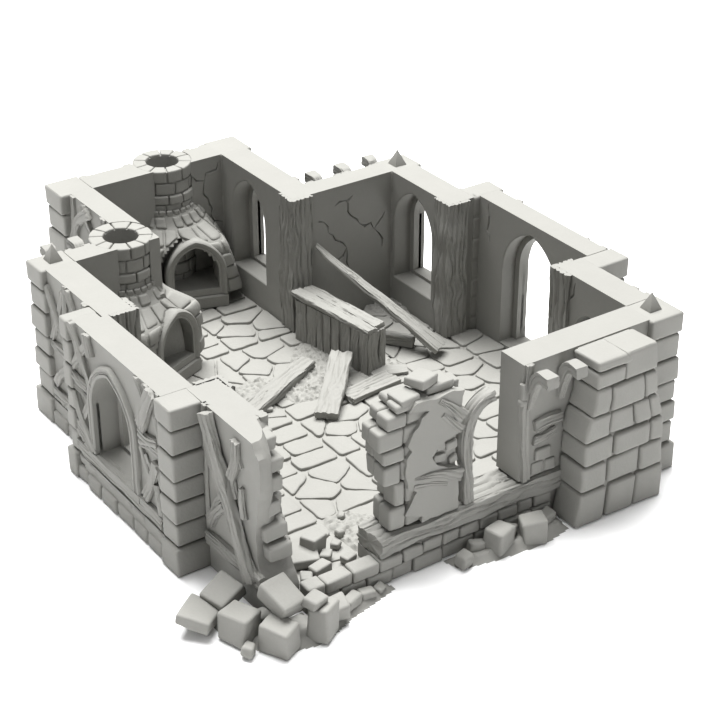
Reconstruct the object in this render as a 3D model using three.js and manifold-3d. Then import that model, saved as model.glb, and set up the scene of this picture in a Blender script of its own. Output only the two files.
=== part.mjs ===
// Ground storey of a ruined half-timbered house, 28 mm scale tabletop terrain. Millimetres, +Z up.
// X runs across the house and Y from front to rear. Every piece is laid out from the hall's inner
// front-left corner at table level, and the whole house is centred on its own footprint at the end.
import * as THREE from 'three';
import { mergeVertices } from 'three/addons/utils/BufferGeometryUtils.js';
import Module from 'manifold-3d';

const wasm = await Module();
wasm.setup();

// Heights
const WALL_TOP = 55; // flat seat of the next storey
const FLOOR_TOP = 5; // walking surface
const PLINTH_TOP = 9; // stone course round the foot of the walls
const SILL_BEAM_TOP = 15.5; // long timbers on the plinth

// Plan, inner faces of the walls
const HALL_WIDTH = 121.8;
const HALL_DEPTH = 120.2;
const LEFT_BAY_DEPTH = 8;
const LEFT_BAY_START = 33.2; // from the hall's front face
const LEFT_BAY_LENGTH = 49.9;
const RIGHT_BAY_DEPTH = 12.5;
const RIGHT_BAY_START = 32.1;
const RIGHT_BAY_LENGTH = 54.9;
const REAR_ROOM_START = 30; // from the hall's left face
const REAR_ROOM_WIDTH = 50.7;
const REAR_ROOM_DEPTH = 46.3;
const WALL = 10.3; // outer walls
const THIN_WALL = 8.3; // doorway, jetty, oven and rear left walls
const BAY_CHEEK = 8.6; // short side walls of the bays
const QUOIN_PROUD = 2.2; // corner stones stand out of the plaster
const PLINTH_PROUD = 1.4;
const BEAM_PROUD = 1.4;
const GAP = 0.3; // between neighbouring pieces

// Openings
const WINDOW_WIDTH = 21.7;
const WINDOW_SILL = 15;
const WINDOW_TOP = 50.7;
const SMALL_WINDOW_WIDTH = 12;
const SMALL_WINDOW_SILL = 24;
const SMALL_WINDOW_TOP = 44;
const DOOR_WIDTH = 27.8;
const REBATE = 2.2; // the outer part of each opening is narrower by this on each side
const REBATE_DEPTH = 0.68; // share of the wall taken by the wide inner part
const REAR_WINDOW_FROM_CORNER = 17; // window centres, from the nearest room corner
const RIGHT_WINDOW_FROM_CORNER = 12.4;
const LEFT_WINDOW_FROM_CORNER = 20.2;
const LEFT_WINDOW_WIDTH = 23.4; // this one is wide on the weather side
const LEFT_WINDOW_SILL = 14.6;
const LEFT_WINDOW_TOP = 46.6;
const FRONT_GAP_START = 56; // broken front window, from the hall's left face
const FRONT_GAP_END = 74.2;

// Ovens
const FLUE_RADIUS = 5.7;
const STACK_RADIUS = 10;
const DOME_RADIUS = 17;
const DOME_TOP = 40;
const HEARTH_TOP = 12.4;
const HEARTH_THICK = 2.6;
const MOUTH_WIDTH = 16;
const MOUTH_TOP = 29;
const OVEN_SHELL = 3; // thickness of the dome's stonework
const MOUTH_REACH = 19.6; // plane of the mouth, from the middle of the dome's foot
const MOUTH_RIM = 3;
const MOUTH_LIP = 0.7; // the hearth stands this far out of the dome and the mouth
// The stack stands `setback` behind the wall face, and the dome's foot lies `shift` to the side of it.
const REAR_OVEN = { x: 60.8, setback: 7.2, turn: -18.9, shift: 6.9 };
const LEFT_OVEN = { x: 20.5, setback: 8.6, turn: 24, shift: 1.8 };

// Timber
const POST_PROUD = 1.6;
const POST_LEG = 7.4;
const STRUT_WIDTH = 4.2;
const STRUT_REACH = 8.9;
const FRONT_STRUT_REACH = 9.7;
const STRUT_DROP = 17;
const PLANK = 2.4; // thickness

// Pins on the wall tops
const PIN_SIDE = 4.7;
const PIN_HEIGHT = 5.3;

// Derived plan lines
const bayLeft = -LEFT_BAY_DEPTH;
const leftBayEnd = LEFT_BAY_START + LEFT_BAY_LENGTH;
const bayRight = HALL_WIDTH + RIGHT_BAY_DEPTH;
const rightBayEnd = RIGHT_BAY_START + RIGHT_BAY_LENGTH;
const roomLeft = REAR_ROOM_START;
const roomRight = REAR_ROOM_START + REAR_ROOM_WIDTH;
const roomRear = HALL_DEPTH + REAR_ROOM_DEPTH;

const PLASTIC = 0xb3b2a9;
const house = new THREE.Group();

// ---- solids ----

function toSolid(geometry) {
  const bare = geometry.clone();
  bare.deleteAttribute('normal');
  bare.deleteAttribute('uv');
  const merged = mergeVertices(bare, 1e-4);
  const triVerts = new Uint32Array(merged.index.array);
  const vertProperties = new Float32Array(merged.attributes.position.array);
  return new wasm.Manifold(new wasm.Mesh({ numProp: 3, vertProperties, triVerts }));
}

function toGeometry(solid) {
  const mesh = solid.getMesh();
  const geometry = new THREE.BufferGeometry();
  geometry.setAttribute('position', new THREE.BufferAttribute(new Float32Array(mesh.vertProperties), 3));
  geometry.setIndex(new THREE.BufferAttribute(new Uint32Array(mesh.triVerts), 1));
  return geometry;
}

function add(name, solid, shade = 1) {
  const color = new THREE.Color(PLASTIC).multiplyScalar(shade);
  const material = new THREE.MeshStandardMaterial({ color, roughness: 0.85, metalness: 0 });
  const geometry = toGeometry(solid);
  geometry.computeVertexNormals();
  const mesh = new THREE.Mesh(geometry, material);
  mesh.name = name;
  house.add(mesh);
  return solid;
}

function block(x0, x1, y0, y1, z0, z1) {
  const geometry = new THREE.BoxGeometry(x1 - x0, y1 - y0, z1 - z0);
  geometry.translate((x0 + x1) / 2, (y0 + y1) / 2, (z0 + z1) / 2);
  return toSolid(geometry);
}

function outline(points) {
  return new THREE.Shape(points.map(([a, b]) => new THREE.Vector2(a, b)));
}

// A plan outline raised from z0 to z1.
function raised(points, z0, z1) {
  const geometry = new THREE.ExtrudeGeometry(outline(points), { depth: z1 - z0, bevelEnabled: false });
  geometry.translate(0, 0, z0);
  return toSolid(geometry);
}

// An elevation outline (along, height) carried through a wall that runs along X, from y0 to y1.
function throughY(shape, y0, y1, curveSegments = 8) {
  const geometry = new THREE.ExtrudeGeometry(shape, { depth: y1 - y0, bevelEnabled: false, curveSegments });
  geometry.rotateX(Math.PI / 2);
  geometry.translate(0, y1, 0);
  return toSolid(geometry);
}

// The same through a wall that runs along Y, from x0 to x1.
function throughX(shape, x0, x1, curveSegments = 8) {
  const geometry = new THREE.ExtrudeGeometry(shape, { depth: x1 - x0, bevelEnabled: false, curveSegments });
  geometry.rotateX(Math.PI / 2);
  geometry.rotateZ(Math.PI / 2);
  geometry.translate(x0, 0, 0);
  return toSolid(geometry);
}

function cylinder(radius, x, y, z0, z1, sides = 32) {
  const geometry = new THREE.CylinderGeometry(radius, radius, z1 - z0, sides);
  geometry.rotateX(Math.PI / 2);
  geometry.translate(x, y, (z0 + z1) / 2);
  return toSolid(geometry);
}

// Pointed arch of the given half-width: straight jambs, then two arcs that meet at the top.
function pointedArch(centre, half, sill, top) {
  const rise = Math.min(half * 1.25, (top - sill) * 0.7);
  const radius = (half * half + rise * rise) / (2 * half);
  const sweep = Math.asin(rise / radius);
  const shape = new THREE.Shape();
  shape.moveTo(centre - half, sill);
  shape.lineTo(centre + half, sill);
  shape.lineTo(centre + half, top - rise);
  shape.absarc(centre + half - radius, top - rise, radius, 0, sweep, false);
  shape.absarc(centre - half + radius, top - rise, radius, Math.PI - sweep, Math.PI, false);
  shape.lineTo(centre - half, sill);
  return shape;
}

// Wide part and narrower part of an opening. The wall runs along Y or X, and the wide part is cut
// from its face `inner`, in the direction `side`.
function openingCut(along, centre, width, sill, top, inner, side, thick) {
  const step = inner + side * thick * REBATE_DEPTH;
  const outer = inner + side * (thick + QUOIN_PROUD + 1);
  const start = inner - side;
  const through = along === 'y' ? throughX : throughY;
  const wide = pointedArch(centre, width / 2, sill, top);
  const narrowSill = sill > FLOOR_TOP ? sill + REBATE / 2 : sill;
  const narrow = pointedArch(centre, width / 2 - REBATE, narrowSill, top - REBATE);
  const wideCut = through(wide, Math.min(start, step), Math.max(start, step));
  return wideCut.add(through(narrow, Math.min(start, outer), Math.max(start, outer)));
}

// ---- walls ----

// A wall panel with its stone plinth on the outer face. `out` is the outward direction.
function panel(x0, x1, y0, y1, out) {
  const wall = block(x0, x1, y0, y1, 0, WALL_TOP);
  const foot = { x0, x1, y0, y1 };
  if (out === '+x') foot.x1 += PLINTH_PROUD;
  if (out === '-x') foot.x0 -= PLINTH_PROUD;
  if (out === '+y') foot.y1 += PLINTH_PROUD;
  if (out === '-y') foot.y0 -= PLINTH_PROUD;
  return wall.add(block(foot.x0, foot.x1, foot.y0, foot.y1, 0, PLINTH_TOP));
}

// ---- ovens and chimneys ----

function ovenFrame(oven, wallFace) {
  const turn = THREE.MathUtils.degToRad(oven.turn);
  const stack = new THREE.Vector2(oven.x, wallFace + oven.setback);
  const across = new THREE.Vector2(Math.cos(turn), Math.sin(turn));
  return { turn, stack, foot: stack.clone().addScaledVector(across, oven.shift) };
}

// A pointed arch carried outwards through the stonework, from `near` to `far` in front of `centre`.
function mouthCut(centre, turn, half, sill, top, near, far) {
  const shape = pointedArch(0, half, sill, top);
  const geometry = new THREE.ExtrudeGeometry(shape, { depth: far - near, bevelEnabled: false, curveSegments: 6 });
  geometry.rotateX(Math.PI / 2);
  geometry.translate(0, -near, 0);
  geometry.rotateZ(turn);
  geometry.translate(centre.x, centre.y, 0);
  return toSolid(geometry);
}

// A dome that leans from the middle of its foot to the stack on its top. `inset` gives the hollow in it.
function domeSolid(frame, base, top, inset) {
  const points = [new THREE.Vector2(0, base)];
  const height = (z) => (z - DOME_FOOT) / (DOME_TOP - DOME_FOOT);
  for (let row = 0; row <= DOME_ROWS; row += 1) {
    const z = base + ((top - base) * row) / DOME_ROWS;
    const swell = Math.cos((height(z) ** 1.5 * Math.PI) / 2);
    points.push(new THREE.Vector2(STACK_RADIUS + (DOME_RADIUS - STACK_RADIUS) * swell - inset, z));
  }
  points.push(new THREE.Vector2(0, top));
  const geometry = new THREE.LatheGeometry(points, 32);
  geometry.rotateX(Math.PI / 2);
  const place = geometry.attributes.position;
  for (let i = 0; i < place.count; i += 1) {
    const middle = frame.foot.clone().lerp(frame.stack, height(place.getZ(i)));
    place.setXY(i, place.getX(i) + middle.x, place.getY(i) + middle.y);
  }
  return toSolid(geometry);
}

const DOME_FOOT = HEARTH_TOP - HEARTH_THICK + GAP;
const DOME_ROWS = 8;
const FAR = 60; // past everything near an oven
function buildOven(name, oven, wallFace, fromX, toX, wallEnd) {
  const frame = ovenFrame(oven, wallFace);
  const { stack, foot, turn } = frame;
  const half = MOUTH_WIDTH / 2;
  const inRoom = block(fromX + GAP, toX - GAP, wallFace - FAR, wallFace - GAP, 0, WALL_TOP + 1);
  const stackHole = cylinder(STACK_RADIUS + GAP, stack.x, stack.y, PLINTH_TOP, WALL_TOP + 1);
  const mouth = mouthCut(foot, turn, half, HEARTH_TOP, MOUTH_TOP, 0, MOUTH_REACH + 1);
  const rim = mouthCut(foot, turn, half + MOUTH_RIM, DOME_FOOT, MOUTH_TOP + MOUTH_RIM, 0, MOUTH_REACH);
  // The chamber opens to the wall behind it, and is closed where it stands past the wall's end.
  const back = wallFace - GAP - OVEN_SHELL;
  const past = block(wallEnd - OVEN_SHELL, wallEnd + FAR, back, wallFace + FAR, 0, WALL_TOP);
  const chamber = domeSolid(frame, HEARTH_TOP, MOUTH_TOP, OVEN_SHELL).subtract(past);
  const shell = domeSolid(frame, DOME_FOOT, DOME_TOP, 0).add(rim);
  add(`${name}_oven_dome`, shell.intersect(inRoom).subtract(stackHole).subtract(mouth).subtract(chamber), 0.96);

  const shelfTop = HEARTH_TOP - HEARTH_THICK;
  const shelf = cylinder(DOME_RADIUS + MOUTH_LIP, foot.x, foot.y, FLOOR_TOP + GAP, shelfTop);
  const tongueEnd = MOUTH_REACH + MOUTH_LIP;
  const tongue = mouthCut(foot, turn, half + MOUTH_RIM, FLOOR_TOP + GAP, MOUTH_TOP, DOME_RADIUS / 2, tongueEnd);
  const slab = block(foot.x - FAR, foot.x + FAR, foot.y - FAR, foot.y + FAR, FLOOR_TOP + GAP, shelfTop);
  add(`${name}_hearth`, shelf.add(tongue.intersect(slab)).intersect(inRoom).subtract(stackHole), 0.9);

  const flue = cylinder(FLUE_RADIUS, stack.x, stack.y, HEARTH_TOP, WALL_TOP + 1);
  const throat = mouthCut(stack, turn, FLUE_RADIUS, HEARTH_TOP, MOUTH_TOP - 4, 0, STACK_RADIUS + 2);
  const chimney = cylinder(STACK_RADIUS, stack.x, stack.y, PLINTH_TOP + GAP, WALL_TOP);
  add(`${name}_chimney_stack`, chimney.subtract(flue).subtract(throat), 1.02);

  const breast = cylinder(STACK_RADIUS + PLINTH_PROUD, stack.x, stack.y, 0, PLINTH_TOP);
  const outside = block(stack.x - FAR, stack.x + FAR, wallFace + 1, wallFace + FAR, 0, WALL_TOP);
  return { hole: stackHole, foot: breast.intersect(outside) };
}

const rearBreast = buildOven('rear', REAR_OVEN, roomRear, roomLeft, roomRight, roomRight);
const leftBreast = buildOven('left', LEFT_OVEN, HALL_DEPTH, 0, HALL_WIDTH, roomLeft);

const rearWindowY = roomRear - REAR_WINDOW_FROM_CORNER;
const rightWindowY = HALL_DEPTH - RIGHT_WINDOW_FROM_CORNER;
const doorY = RIGHT_BAY_START + RIGHT_BAY_LENGTH / 2;
const smallWindowY = RIGHT_BAY_START / 2;
const leftWindowY = leftBayEnd - LEFT_WINDOW_FROM_CORNER;

function buildWalls() {
  const rear = panel(roomLeft + GAP, roomRight - GAP, roomRear, roomRear + WALL, '+y');
  add('wall_rear', rear.add(rearBreast.foot).subtract(rearBreast.hole), 1);

  const rearRight = panel(roomRight, roomRight + WALL, HALL_DEPTH, roomRear - GAP, '+x');
  const rearCut = openingCut('y', rearWindowY, WINDOW_WIDTH, WINDOW_SILL, WINDOW_TOP, roomRight, 1, WALL);
  add('wall_rear_room_window', rearRight.subtract(rearCut), 0.98);

  const jettyStart = roomRight + WALL + PLINTH_PROUD + GAP;
  add('wall_jetty_right', panel(jettyStart, HALL_WIDTH - GAP, HALL_DEPTH, HALL_DEPTH + THIN_WALL, '+y'), 1);

  const right = panel(HALL_WIDTH, HALL_WIDTH + WALL, rightBayEnd, HALL_DEPTH - GAP, '+x');
  const rightCut = openingCut('y', rightWindowY, WINDOW_WIDTH, WINDOW_SILL, WINDOW_TOP, HALL_WIDTH, 1, WALL);
  const rightCheek = block(
    HALL_WIDTH + WALL - GAP,
    HALL_WIDTH + WALL + 5,
    rightBayEnd - 1,
    rightBayEnd + BAY_CHEEK + GAP,
    -1,
    WALL_TOP + 1,
  );
  add('wall_right_window', right.subtract(rightCut).subtract(rightCheek), 0.98);

  const door = panel(bayRight, bayRight + THIN_WALL, RIGHT_BAY_START + GAP, rightBayEnd - GAP, '+x');
  const doorCut = openingCut('y', doorY, DOOR_WIDTH, FLOOR_TOP, WINDOW_TOP, bayRight, 1, THIN_WALL);
  add('wall_doorway', door.subtract(doorCut), 1);

  const side = panel(HALL_WIDTH, HALL_WIDTH + WALL, GAP, RIGHT_BAY_START, '+x');
  const sideCut = openingCut(
    'y',
    smallWindowY,
    SMALL_WINDOW_WIDTH,
    SMALL_WINDOW_SILL,
    SMALL_WINDOW_TOP,
    HALL_WIDTH,
    1,
    WALL,
  );
  const sideCheek = block(
    HALL_WIDTH + WALL - GAP,
    HALL_WIDTH + WALL + 5,
    RIGHT_BAY_START - BAY_CHEEK - GAP,
    RIGHT_BAY_START + 1,
    -1,
    WALL_TOP + 1,
  );
  add('wall_front_right_side', side.subtract(sideCut).subtract(sideCheek), 0.98);

  const front = block(FRONT_GAP_END, HALL_WIDTH - GAP, -WALL, 0, SILL_BEAM_TOP + GAP, WALL_TOP);
  add('wall_front_right', front, 1);

  const rearLeft = panel(roomLeft - THIN_WALL, roomLeft, HALL_DEPTH, roomRear - GAP, '-x');
  const ovenEnd = roomLeft - THIN_WALL - PLINTH_PROUD - GAP;
  const oven = panel(GAP, ovenEnd, HALL_DEPTH, HALL_DEPTH + THIN_WALL, '+y');
  const beside = block(-60, ovenEnd + GAP, 0, 400, -1, WALL_TOP + 1);
  add('wall_rear_room_left', rearLeft.subtract(leftBreast.hole), 0.98);
  add('wall_left_oven', oven.add(leftBreast.foot.intersect(beside)).subtract(leftBreast.hole).subtract(rearLeft), 1);

  const upper = panel(-WALL, 0, leftBayEnd, HALL_DEPTH - GAP, '-x');
  const upperCheek = block(
    -WALL - 5,
    -WALL + GAP,
    leftBayEnd - 1,
    leftBayEnd + BAY_CHEEK + GAP,
    -1,
    WALL_TOP + 1,
  );
  add('wall_left_rear', upper.subtract(upperCheek), 0.98);

  const left = block(bayLeft - WALL, bayLeft, LEFT_BAY_START + GAP, leftBayEnd - GAP, 0, WALL_TOP);
  const leftFoot = block(
    bayLeft - WALL - PLINTH_PROUD,
    bayLeft - WALL + 1,
    LEFT_BAY_START + GAP,
    leftBayEnd - GAP,
    0,
    PLINTH_TOP,
  );
  const leftCut = openingCut(
    'y',
    leftWindowY,
    LEFT_WINDOW_WIDTH,
    LEFT_WINDOW_SILL,
    LEFT_WINDOW_TOP,
    bayLeft - WALL,
    1,
    WALL,
  );
  add('wall_left_window', left.add(leftFoot).subtract(leftCut), 0.98);
}

// The front-left wall is broken: it stands to full height beside the bay and steps down to the
// front, where four bricks still tooth out of its end.
const BROKEN_WALL_REACH = WALL - 6.8; // past the hall's front face
function buildBrokenWall() {
  const end = -BROKEN_WALL_REACH;
  const shape = outline([
    [LEFT_BAY_START - GAP, 0],
    [LEFT_BAY_START - GAP, WALL_TOP],
    [9, WALL_TOP],
    [4.5, WALL_TOP - 7],
    [2.4, WALL_TOP - 22],
    [0.6, WALL_TOP - 30],
    [end, 20],
    [end - 3.4, 9],
    [end - 5, 0],
  ]);
  const wall = throughX(shape, -WALL, 0);
  const teeth = [0, 1, 2, 3].map((course) => {
    const top = WALL_TOP - 1 - course * 5.6;
    const out = [1.4, 0.6, 0.2, -0.8][course];
    return block(-WALL + 1, -1, out, 12, top - 4.9, top);
  });
  const bay = block(-WALL - 20, -WALL + GAP, LEFT_BAY_START - BAY_CHEEK - GAP, LEFT_BAY_START + 1, -1, WALL_TOP + 1);
  add('wall_front_left_broken', wasm.Manifold.union([wall, ...teeth]).subtract(bay), 1);
}

// ---- corner stones: nine stacks of quoins, stepped in and out course by course ----

const COURSES = [0, 0.17, 0.31, 0.44, 0.57, 0.72, 0.87, 1]; // shares of the wall's height
const COURSE_STEP = 1.1;
function quoinStack(name, x0, x1, y0, y1, outX, outY) {
  const stones = [];
  for (let course = 0; course + 1 < COURSES.length; course += 1) {
    const inset = course % 2 === 0 ? 0 : COURSE_STEP;
    const low = { x: outX < 0 ? 0 : inset, y: outY < 0 ? 0 : inset };
    const high = { x: outX > 0 ? 0 : inset, y: outY > 0 ? 0 : inset };
    const z0 = COURSES[course] * WALL_TOP;
    const z1 = COURSES[course + 1] * WALL_TOP;
    stones.push(block(x0 + low.x, x1 - high.x, y0 + low.y, y1 - high.y, z0, z1));
  }
  add(name, wasm.Manifold.union(stones), 1.04);
}

function buildQuoins() {
  const proud = QUOIN_PROUD;
  const full = WALL + proud;
  const thin = THIN_WALL + proud;
  quoinStack('quoin_rear_left', roomLeft - full, roomLeft, roomRear, roomRear + full, -1, 1);
  quoinStack('quoin_rear_right', roomRight, roomRight + full, roomRear, roomRear + full, 1, 1);
  quoinStack('quoin_left_rear', -full, 0, HALL_DEPTH, HALL_DEPTH + thin, -1, 1);
  quoinStack('quoin_right_rear', HALL_WIDTH, HALL_WIDTH + full, HALL_DEPTH, HALL_DEPTH + thin, 1, 1);
  quoinStack('quoin_left_bay_rear', bayLeft - full, -WALL, leftBayEnd, leftBayEnd + BAY_CHEEK, -1, 1);
  quoinStack(
    'quoin_left_bay_front',
    bayLeft - full,
    -WALL,
    LEFT_BAY_START - BAY_CHEEK,
    LEFT_BAY_START,
    -1,
    -1,
  );
  quoinStack(
    'quoin_door_rear',
    HALL_WIDTH + WALL,
    bayRight + THIN_WALL + proud,
    rightBayEnd,
    rightBayEnd + BAY_CHEEK,
    1,
    1,
  );
  quoinStack(
    'quoin_door_front',
    HALL_WIDTH + WALL,
    bayRight + THIN_WALL + proud,
    RIGHT_BAY_START - BAY_CHEEK,
    RIGHT_BAY_START,
    1,
    -1,
  );
  quoinStack('quoin_front_right', HALL_WIDTH, HALL_WIDTH + full, -full, 0, 1, -1);
}

// ---- buttress: plumb face, flared cheeks ----

const BUTTRESS = { x: 92.8, width: 21.8, depth: 11.4, flare: 5.8 };
function buildButtress() {
  const { x, width, depth, flare } = BUTTRESS;
  const shape = outline([
    [x - flare, 0],
    [x + width + flare, 0],
    [x + width + flare, 22],
    [x + width, 48],
    [x + width, WALL_TOP],
    [x, WALL_TOP],
    [x, 44],
  ]);
  add('buttress', throughY(shape, -WALL - GAP - depth, -WALL - GAP), 1.02);
}

// ---- floor ----

function buildFloor() {
  const rearLow = HALL_DEPTH - GAP;
  const plan = [
    [GAP, -WALL + GAP],
    [HALL_WIDTH - GAP, -WALL + GAP],
    [HALL_WIDTH - GAP, RIGHT_BAY_START + GAP],
    [bayRight - GAP, RIGHT_BAY_START + GAP],
    [bayRight - GAP, rightBayEnd - GAP],
    [HALL_WIDTH - GAP, rightBayEnd - GAP],
    [HALL_WIDTH - GAP, rearLow],
    [roomRight - GAP, rearLow],
    [roomRight - GAP, roomRear - GAP],
    [roomLeft + GAP, roomRear - GAP],
    [roomLeft + GAP, rearLow],
    [GAP, rearLow],
    [GAP, leftBayEnd - GAP],
    [bayLeft + GAP, leftBayEnd - GAP],
    [bayLeft + GAP, LEFT_BAY_START + GAP],
    [GAP, LEFT_BAY_START + GAP],
  ];
  const slab = raised(plan, 0, FLOOR_TOP).add(kerb());
  add('floor_slab', slab, 1.02);
}

// ---- timber posts on the room corners ----

// An L-shaped casing round a wall corner at (x, y). The wall lies towards (sx, sy).
function cornerPost(name, x, y, sx, sy) {
  const z0 = FLOOR_TOP + GAP;
  const place = ([a, b]) => [x + sx * a, y + sy * b];
  const plan = [
    [-POST_PROUD, -POST_PROUD],
    [POST_LEG, -POST_PROUD],
    [POST_LEG, -GAP],
    [-GAP, -GAP],
    [-GAP, POST_LEG],
    [-POST_PROUD, POST_LEG],
  ].map(place);
  if (sx * sy < 0) plan.reverse();
  add(name, raised(plan, z0, WALL_TOP), 0.92);
}

function buildPosts() {
  cornerPost('post_rear_room', roomRight, HALL_DEPTH, 1, 1);
  cornerPost('post_door_rear', HALL_WIDTH, rightBayEnd, 1, 1);
  cornerPost('post_door_front', HALL_WIDTH, RIGHT_BAY_START, 1, -1);
  cornerPost('post_left_bay_rear', 0, leftBayEnd, -1, 1);
  cornerPost('post_left_bay_front', 0, LEFT_BAY_START, -1, -1);
}

// ---- curved jetty struts under the missing upper storey ----

function strutShape(reach) {
  const shape = new THREE.Shape();
  shape.moveTo(0, WALL_TOP - STRUT_DROP);
  shape.quadraticCurveTo(1.6, WALL_TOP - 8, reach, WALL_TOP - 3.4);
  shape.lineTo(reach, WALL_TOP - 0.4);
  shape.lineTo(reach - 4.2, WALL_TOP - 0.4);
  shape.quadraticCurveTo(3, WALL_TOP - 1.4, 0, WALL_TOP - 4.6);
  shape.lineTo(0, WALL_TOP - STRUT_DROP);
  return shape;
}

// A strut centred at x, standing out of the face y in direction `side`, as far as `end`.
function strut(name, x, face, end, side) {
  const start = face + side * GAP;
  const geometry = new THREE.ExtrudeGeometry(strutShape(Math.abs(end - start)), {
    depth: STRUT_WIDTH,
    bevelEnabled: false,
    curveSegments: 6,
  });
  geometry.rotateX(Math.PI / 2);
  geometry.rotateZ((side * Math.PI) / 2);
  geometry.translate(x - (side * STRUT_WIDTH) / 2, start, 0);
  add(name, toSolid(geometry), 0.94);
}

const STRUT_START = 7.7; // centre of the right-hand row's first, past the rear room wall
const STRUT_PAST_CORNER = 1.3; // centre of its last, past the hall's right face
const LEFT_STRUTS = [-2.1, 7.2]; // centres, from the hall's left face
const FRONT_STRUTS = [2.5, 13.6]; // centres, from the broken window's right jamb
function buildStruts() {
  const face = HALL_DEPTH + THIN_WALL;
  const end = face + STRUT_REACH;
  const onQuoin = (x) => x < 0 || x > HALL_WIDTH - STRUT_WIDTH / 2 - GAP;
  const faceAt = (x) => (onQuoin(x) ? face + QUOIN_PROUD : face);
  const first = roomRight + WALL + STRUT_START;
  const pitch = (HALL_WIDTH + STRUT_PAST_CORNER - first) / 2;
  for (let i = 0; i < 3; i += 1) {
    const x = first + i * pitch;
    strut(`strut_right_${i + 1}`, x, faceAt(x), end, 1);
  }
  LEFT_STRUTS.forEach((x, i) => strut(`strut_left_${i + 1}`, x, faceAt(x), end, 1));
  FRONT_STRUTS.forEach((offset, i) => {
    strut(`strut_front_${i + 1}`, FRONT_GAP_END + offset, -WALL, -WALL - FRONT_STRUT_REACH, -1);
  });
}

// ---- broken front: pier, jamb, sill beam ----

const PIER_START = 24;
const PIER_TOP = 56;
const JAMB_WIDTH = 4;
function buildFront() {
  const right = FRONT_GAP_START - JAMB_WIDTH;
  const base = SILL_BEAM_TOP + GAP;
  const toothed = [28.2, 29.8, 26.2, 25.9, PIER_START, 26.9, 30];
  const rise = (PIER_TOP - base) / toothed.length;
  const edge = toothed.flatMap((x, row) => [
    [x, base + row * rise],
    [x, base + (row + 1) * rise],
  ]);
  const shape = outline([...edge, [right - 1.4, PIER_TOP], [right, PIER_TOP - 3], [right, base]]);
  const pier = throughY(shape, -WALL, 0);
  const lower = block(31.5, 40.5, -WALL + 1.4, -1.6, PIER_TOP - 1, PIER_TOP + 1.2);
  const end = block(41.8, 50.5, -WALL + 3, -0.8, PIER_TOP - 4, PIER_TOP + 0.9);
  const nub = block(27.4, 33.4, -WALL + 0.6, -3.6, PIER_TOP - 1, PIER_TOP + 1.4);
  add('front_pier', wasm.Manifold.union([pier, lower, end, nub]), 1.02);
  add('loose_block_on_pier', stone(41.6, -5.6, PIER_TOP + 3, 7.2, 6.4, 3, 18), 1.04);

  const jamb = outline([
    [right + GAP, base],
    [FRONT_GAP_START, base],
    [FRONT_GAP_START, 37],
    [FRONT_GAP_START + 2.3, 40],
    [FRONT_GAP_START + 3.4, 46.4],
    [FRONT_GAP_START + 8.4, 47.3],
    [FRONT_GAP_START + 6.6, 50.3],
    [FRONT_GAP_START - 1.2, 49.2],
    [right + GAP, 44],
  ]);
  add('broken_jamb_timber', throughY(jamb, -WALL - 0.6, -WALL + 4), 0.92);

  const beamBase = PLINTH_TOP + GAP;
  const beam = block(PIER_START, HALL_WIDTH - GAP, -WALL - BEAM_PROUD, -GAP, beamBase, SILL_BEAM_TOP);
  const behind = block(
    BUTTRESS.x - BUTTRESS.flare - GAP,
    HALL_WIDTH + 1,
    -WALL - 20,
    -WALL + 0.01,
    beamBase - 1,
    SILL_BEAM_TOP + 1,
  );
  add('front_sill_beam', beam.subtract(behind), 0.94);
}

// Brick kerb along the open front. It carries the sill beam.
const KERB_DEPTH = 3.7;
function kerb() {
  const cheek = BUTTRESS.x - BUTTRESS.flare - GAP;
  const low = block(GAP, cheek, -WALL - PLINTH_PROUD, -WALL + KERB_DEPTH, 0, PLINTH_TOP);
  const under = block(PIER_START, HALL_WIDTH - GAP, -WALL, -GAP, 0, PLINTH_TOP);
  return low.add(under);
}

// ---- timbers on the left side ----

function buildLeftTimbers() {
  const face = bayLeft - WALL;
  const sill = block(
    face - BEAM_PROUD - GAP,
    face - GAP,
    LEFT_BAY_START + GAP,
    leftBayEnd - GAP,
    PLINTH_TOP + GAP,
    SILL_BEAM_TOP,
  );
  add('left_sill_beam', sill, 0.92);

  const top = LEFT_BAY_START - BAY_CHEEK - 2.4;
  const brace = outline([
    [top, WALL_TOP - 1],
    [top - 5, WALL_TOP - 1],
    [-BROKEN_WALL_REACH - 1.6, 9.6],
    [-BROKEN_WALL_REACH + 5, 9.6],
  ]);
  add('broken_wall_brace', throughX(brace, -WALL - GAP - 2.2, -WALL - GAP), 0.92);
}

// ---- furniture and fallen timber ----

// A squared timber of the given section from one end point to the other, its width lying flat.
function timber(from, to, width, thick) {
  const a = new THREE.Vector3(...from);
  const b = new THREE.Vector3(...to);
  const along = b.clone().sub(a);
  const geometry = new THREE.BoxGeometry(along.length(), width, thick);
  const direction = along.clone().normalize();
  const side = new THREE.Vector3(0, 0, 1).cross(direction).normalize();
  const up = direction.clone().cross(side);
  const place = new THREE.Matrix4().makeBasis(direction, side, up);
  place.setPosition(a.add(b).multiplyScalar(0.5));
  geometry.applyMatrix4(place);
  return toSolid(geometry);
}

// A squared stone about its centre, turned by `turn` degrees and tipped by `pitch` and `roll`.
function stone(x, y, z, length, width, height, turn = 0, pitch = 0, roll = 0) {
  const geometry = new THREE.BoxGeometry(length, width, height);
  geometry.rotateX(THREE.MathUtils.degToRad(roll));
  geometry.rotateY(THREE.MathUtils.degToRad(pitch));
  geometry.rotateZ(THREE.MathUtils.degToRad(turn));
  geometry.translate(x, y, z);
  return toSolid(geometry);
}

const COUNTER = { length: 35.6, width: 8, height: 15.2, top: 2.4, turn: 9.5, lip: 0.7 };
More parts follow.
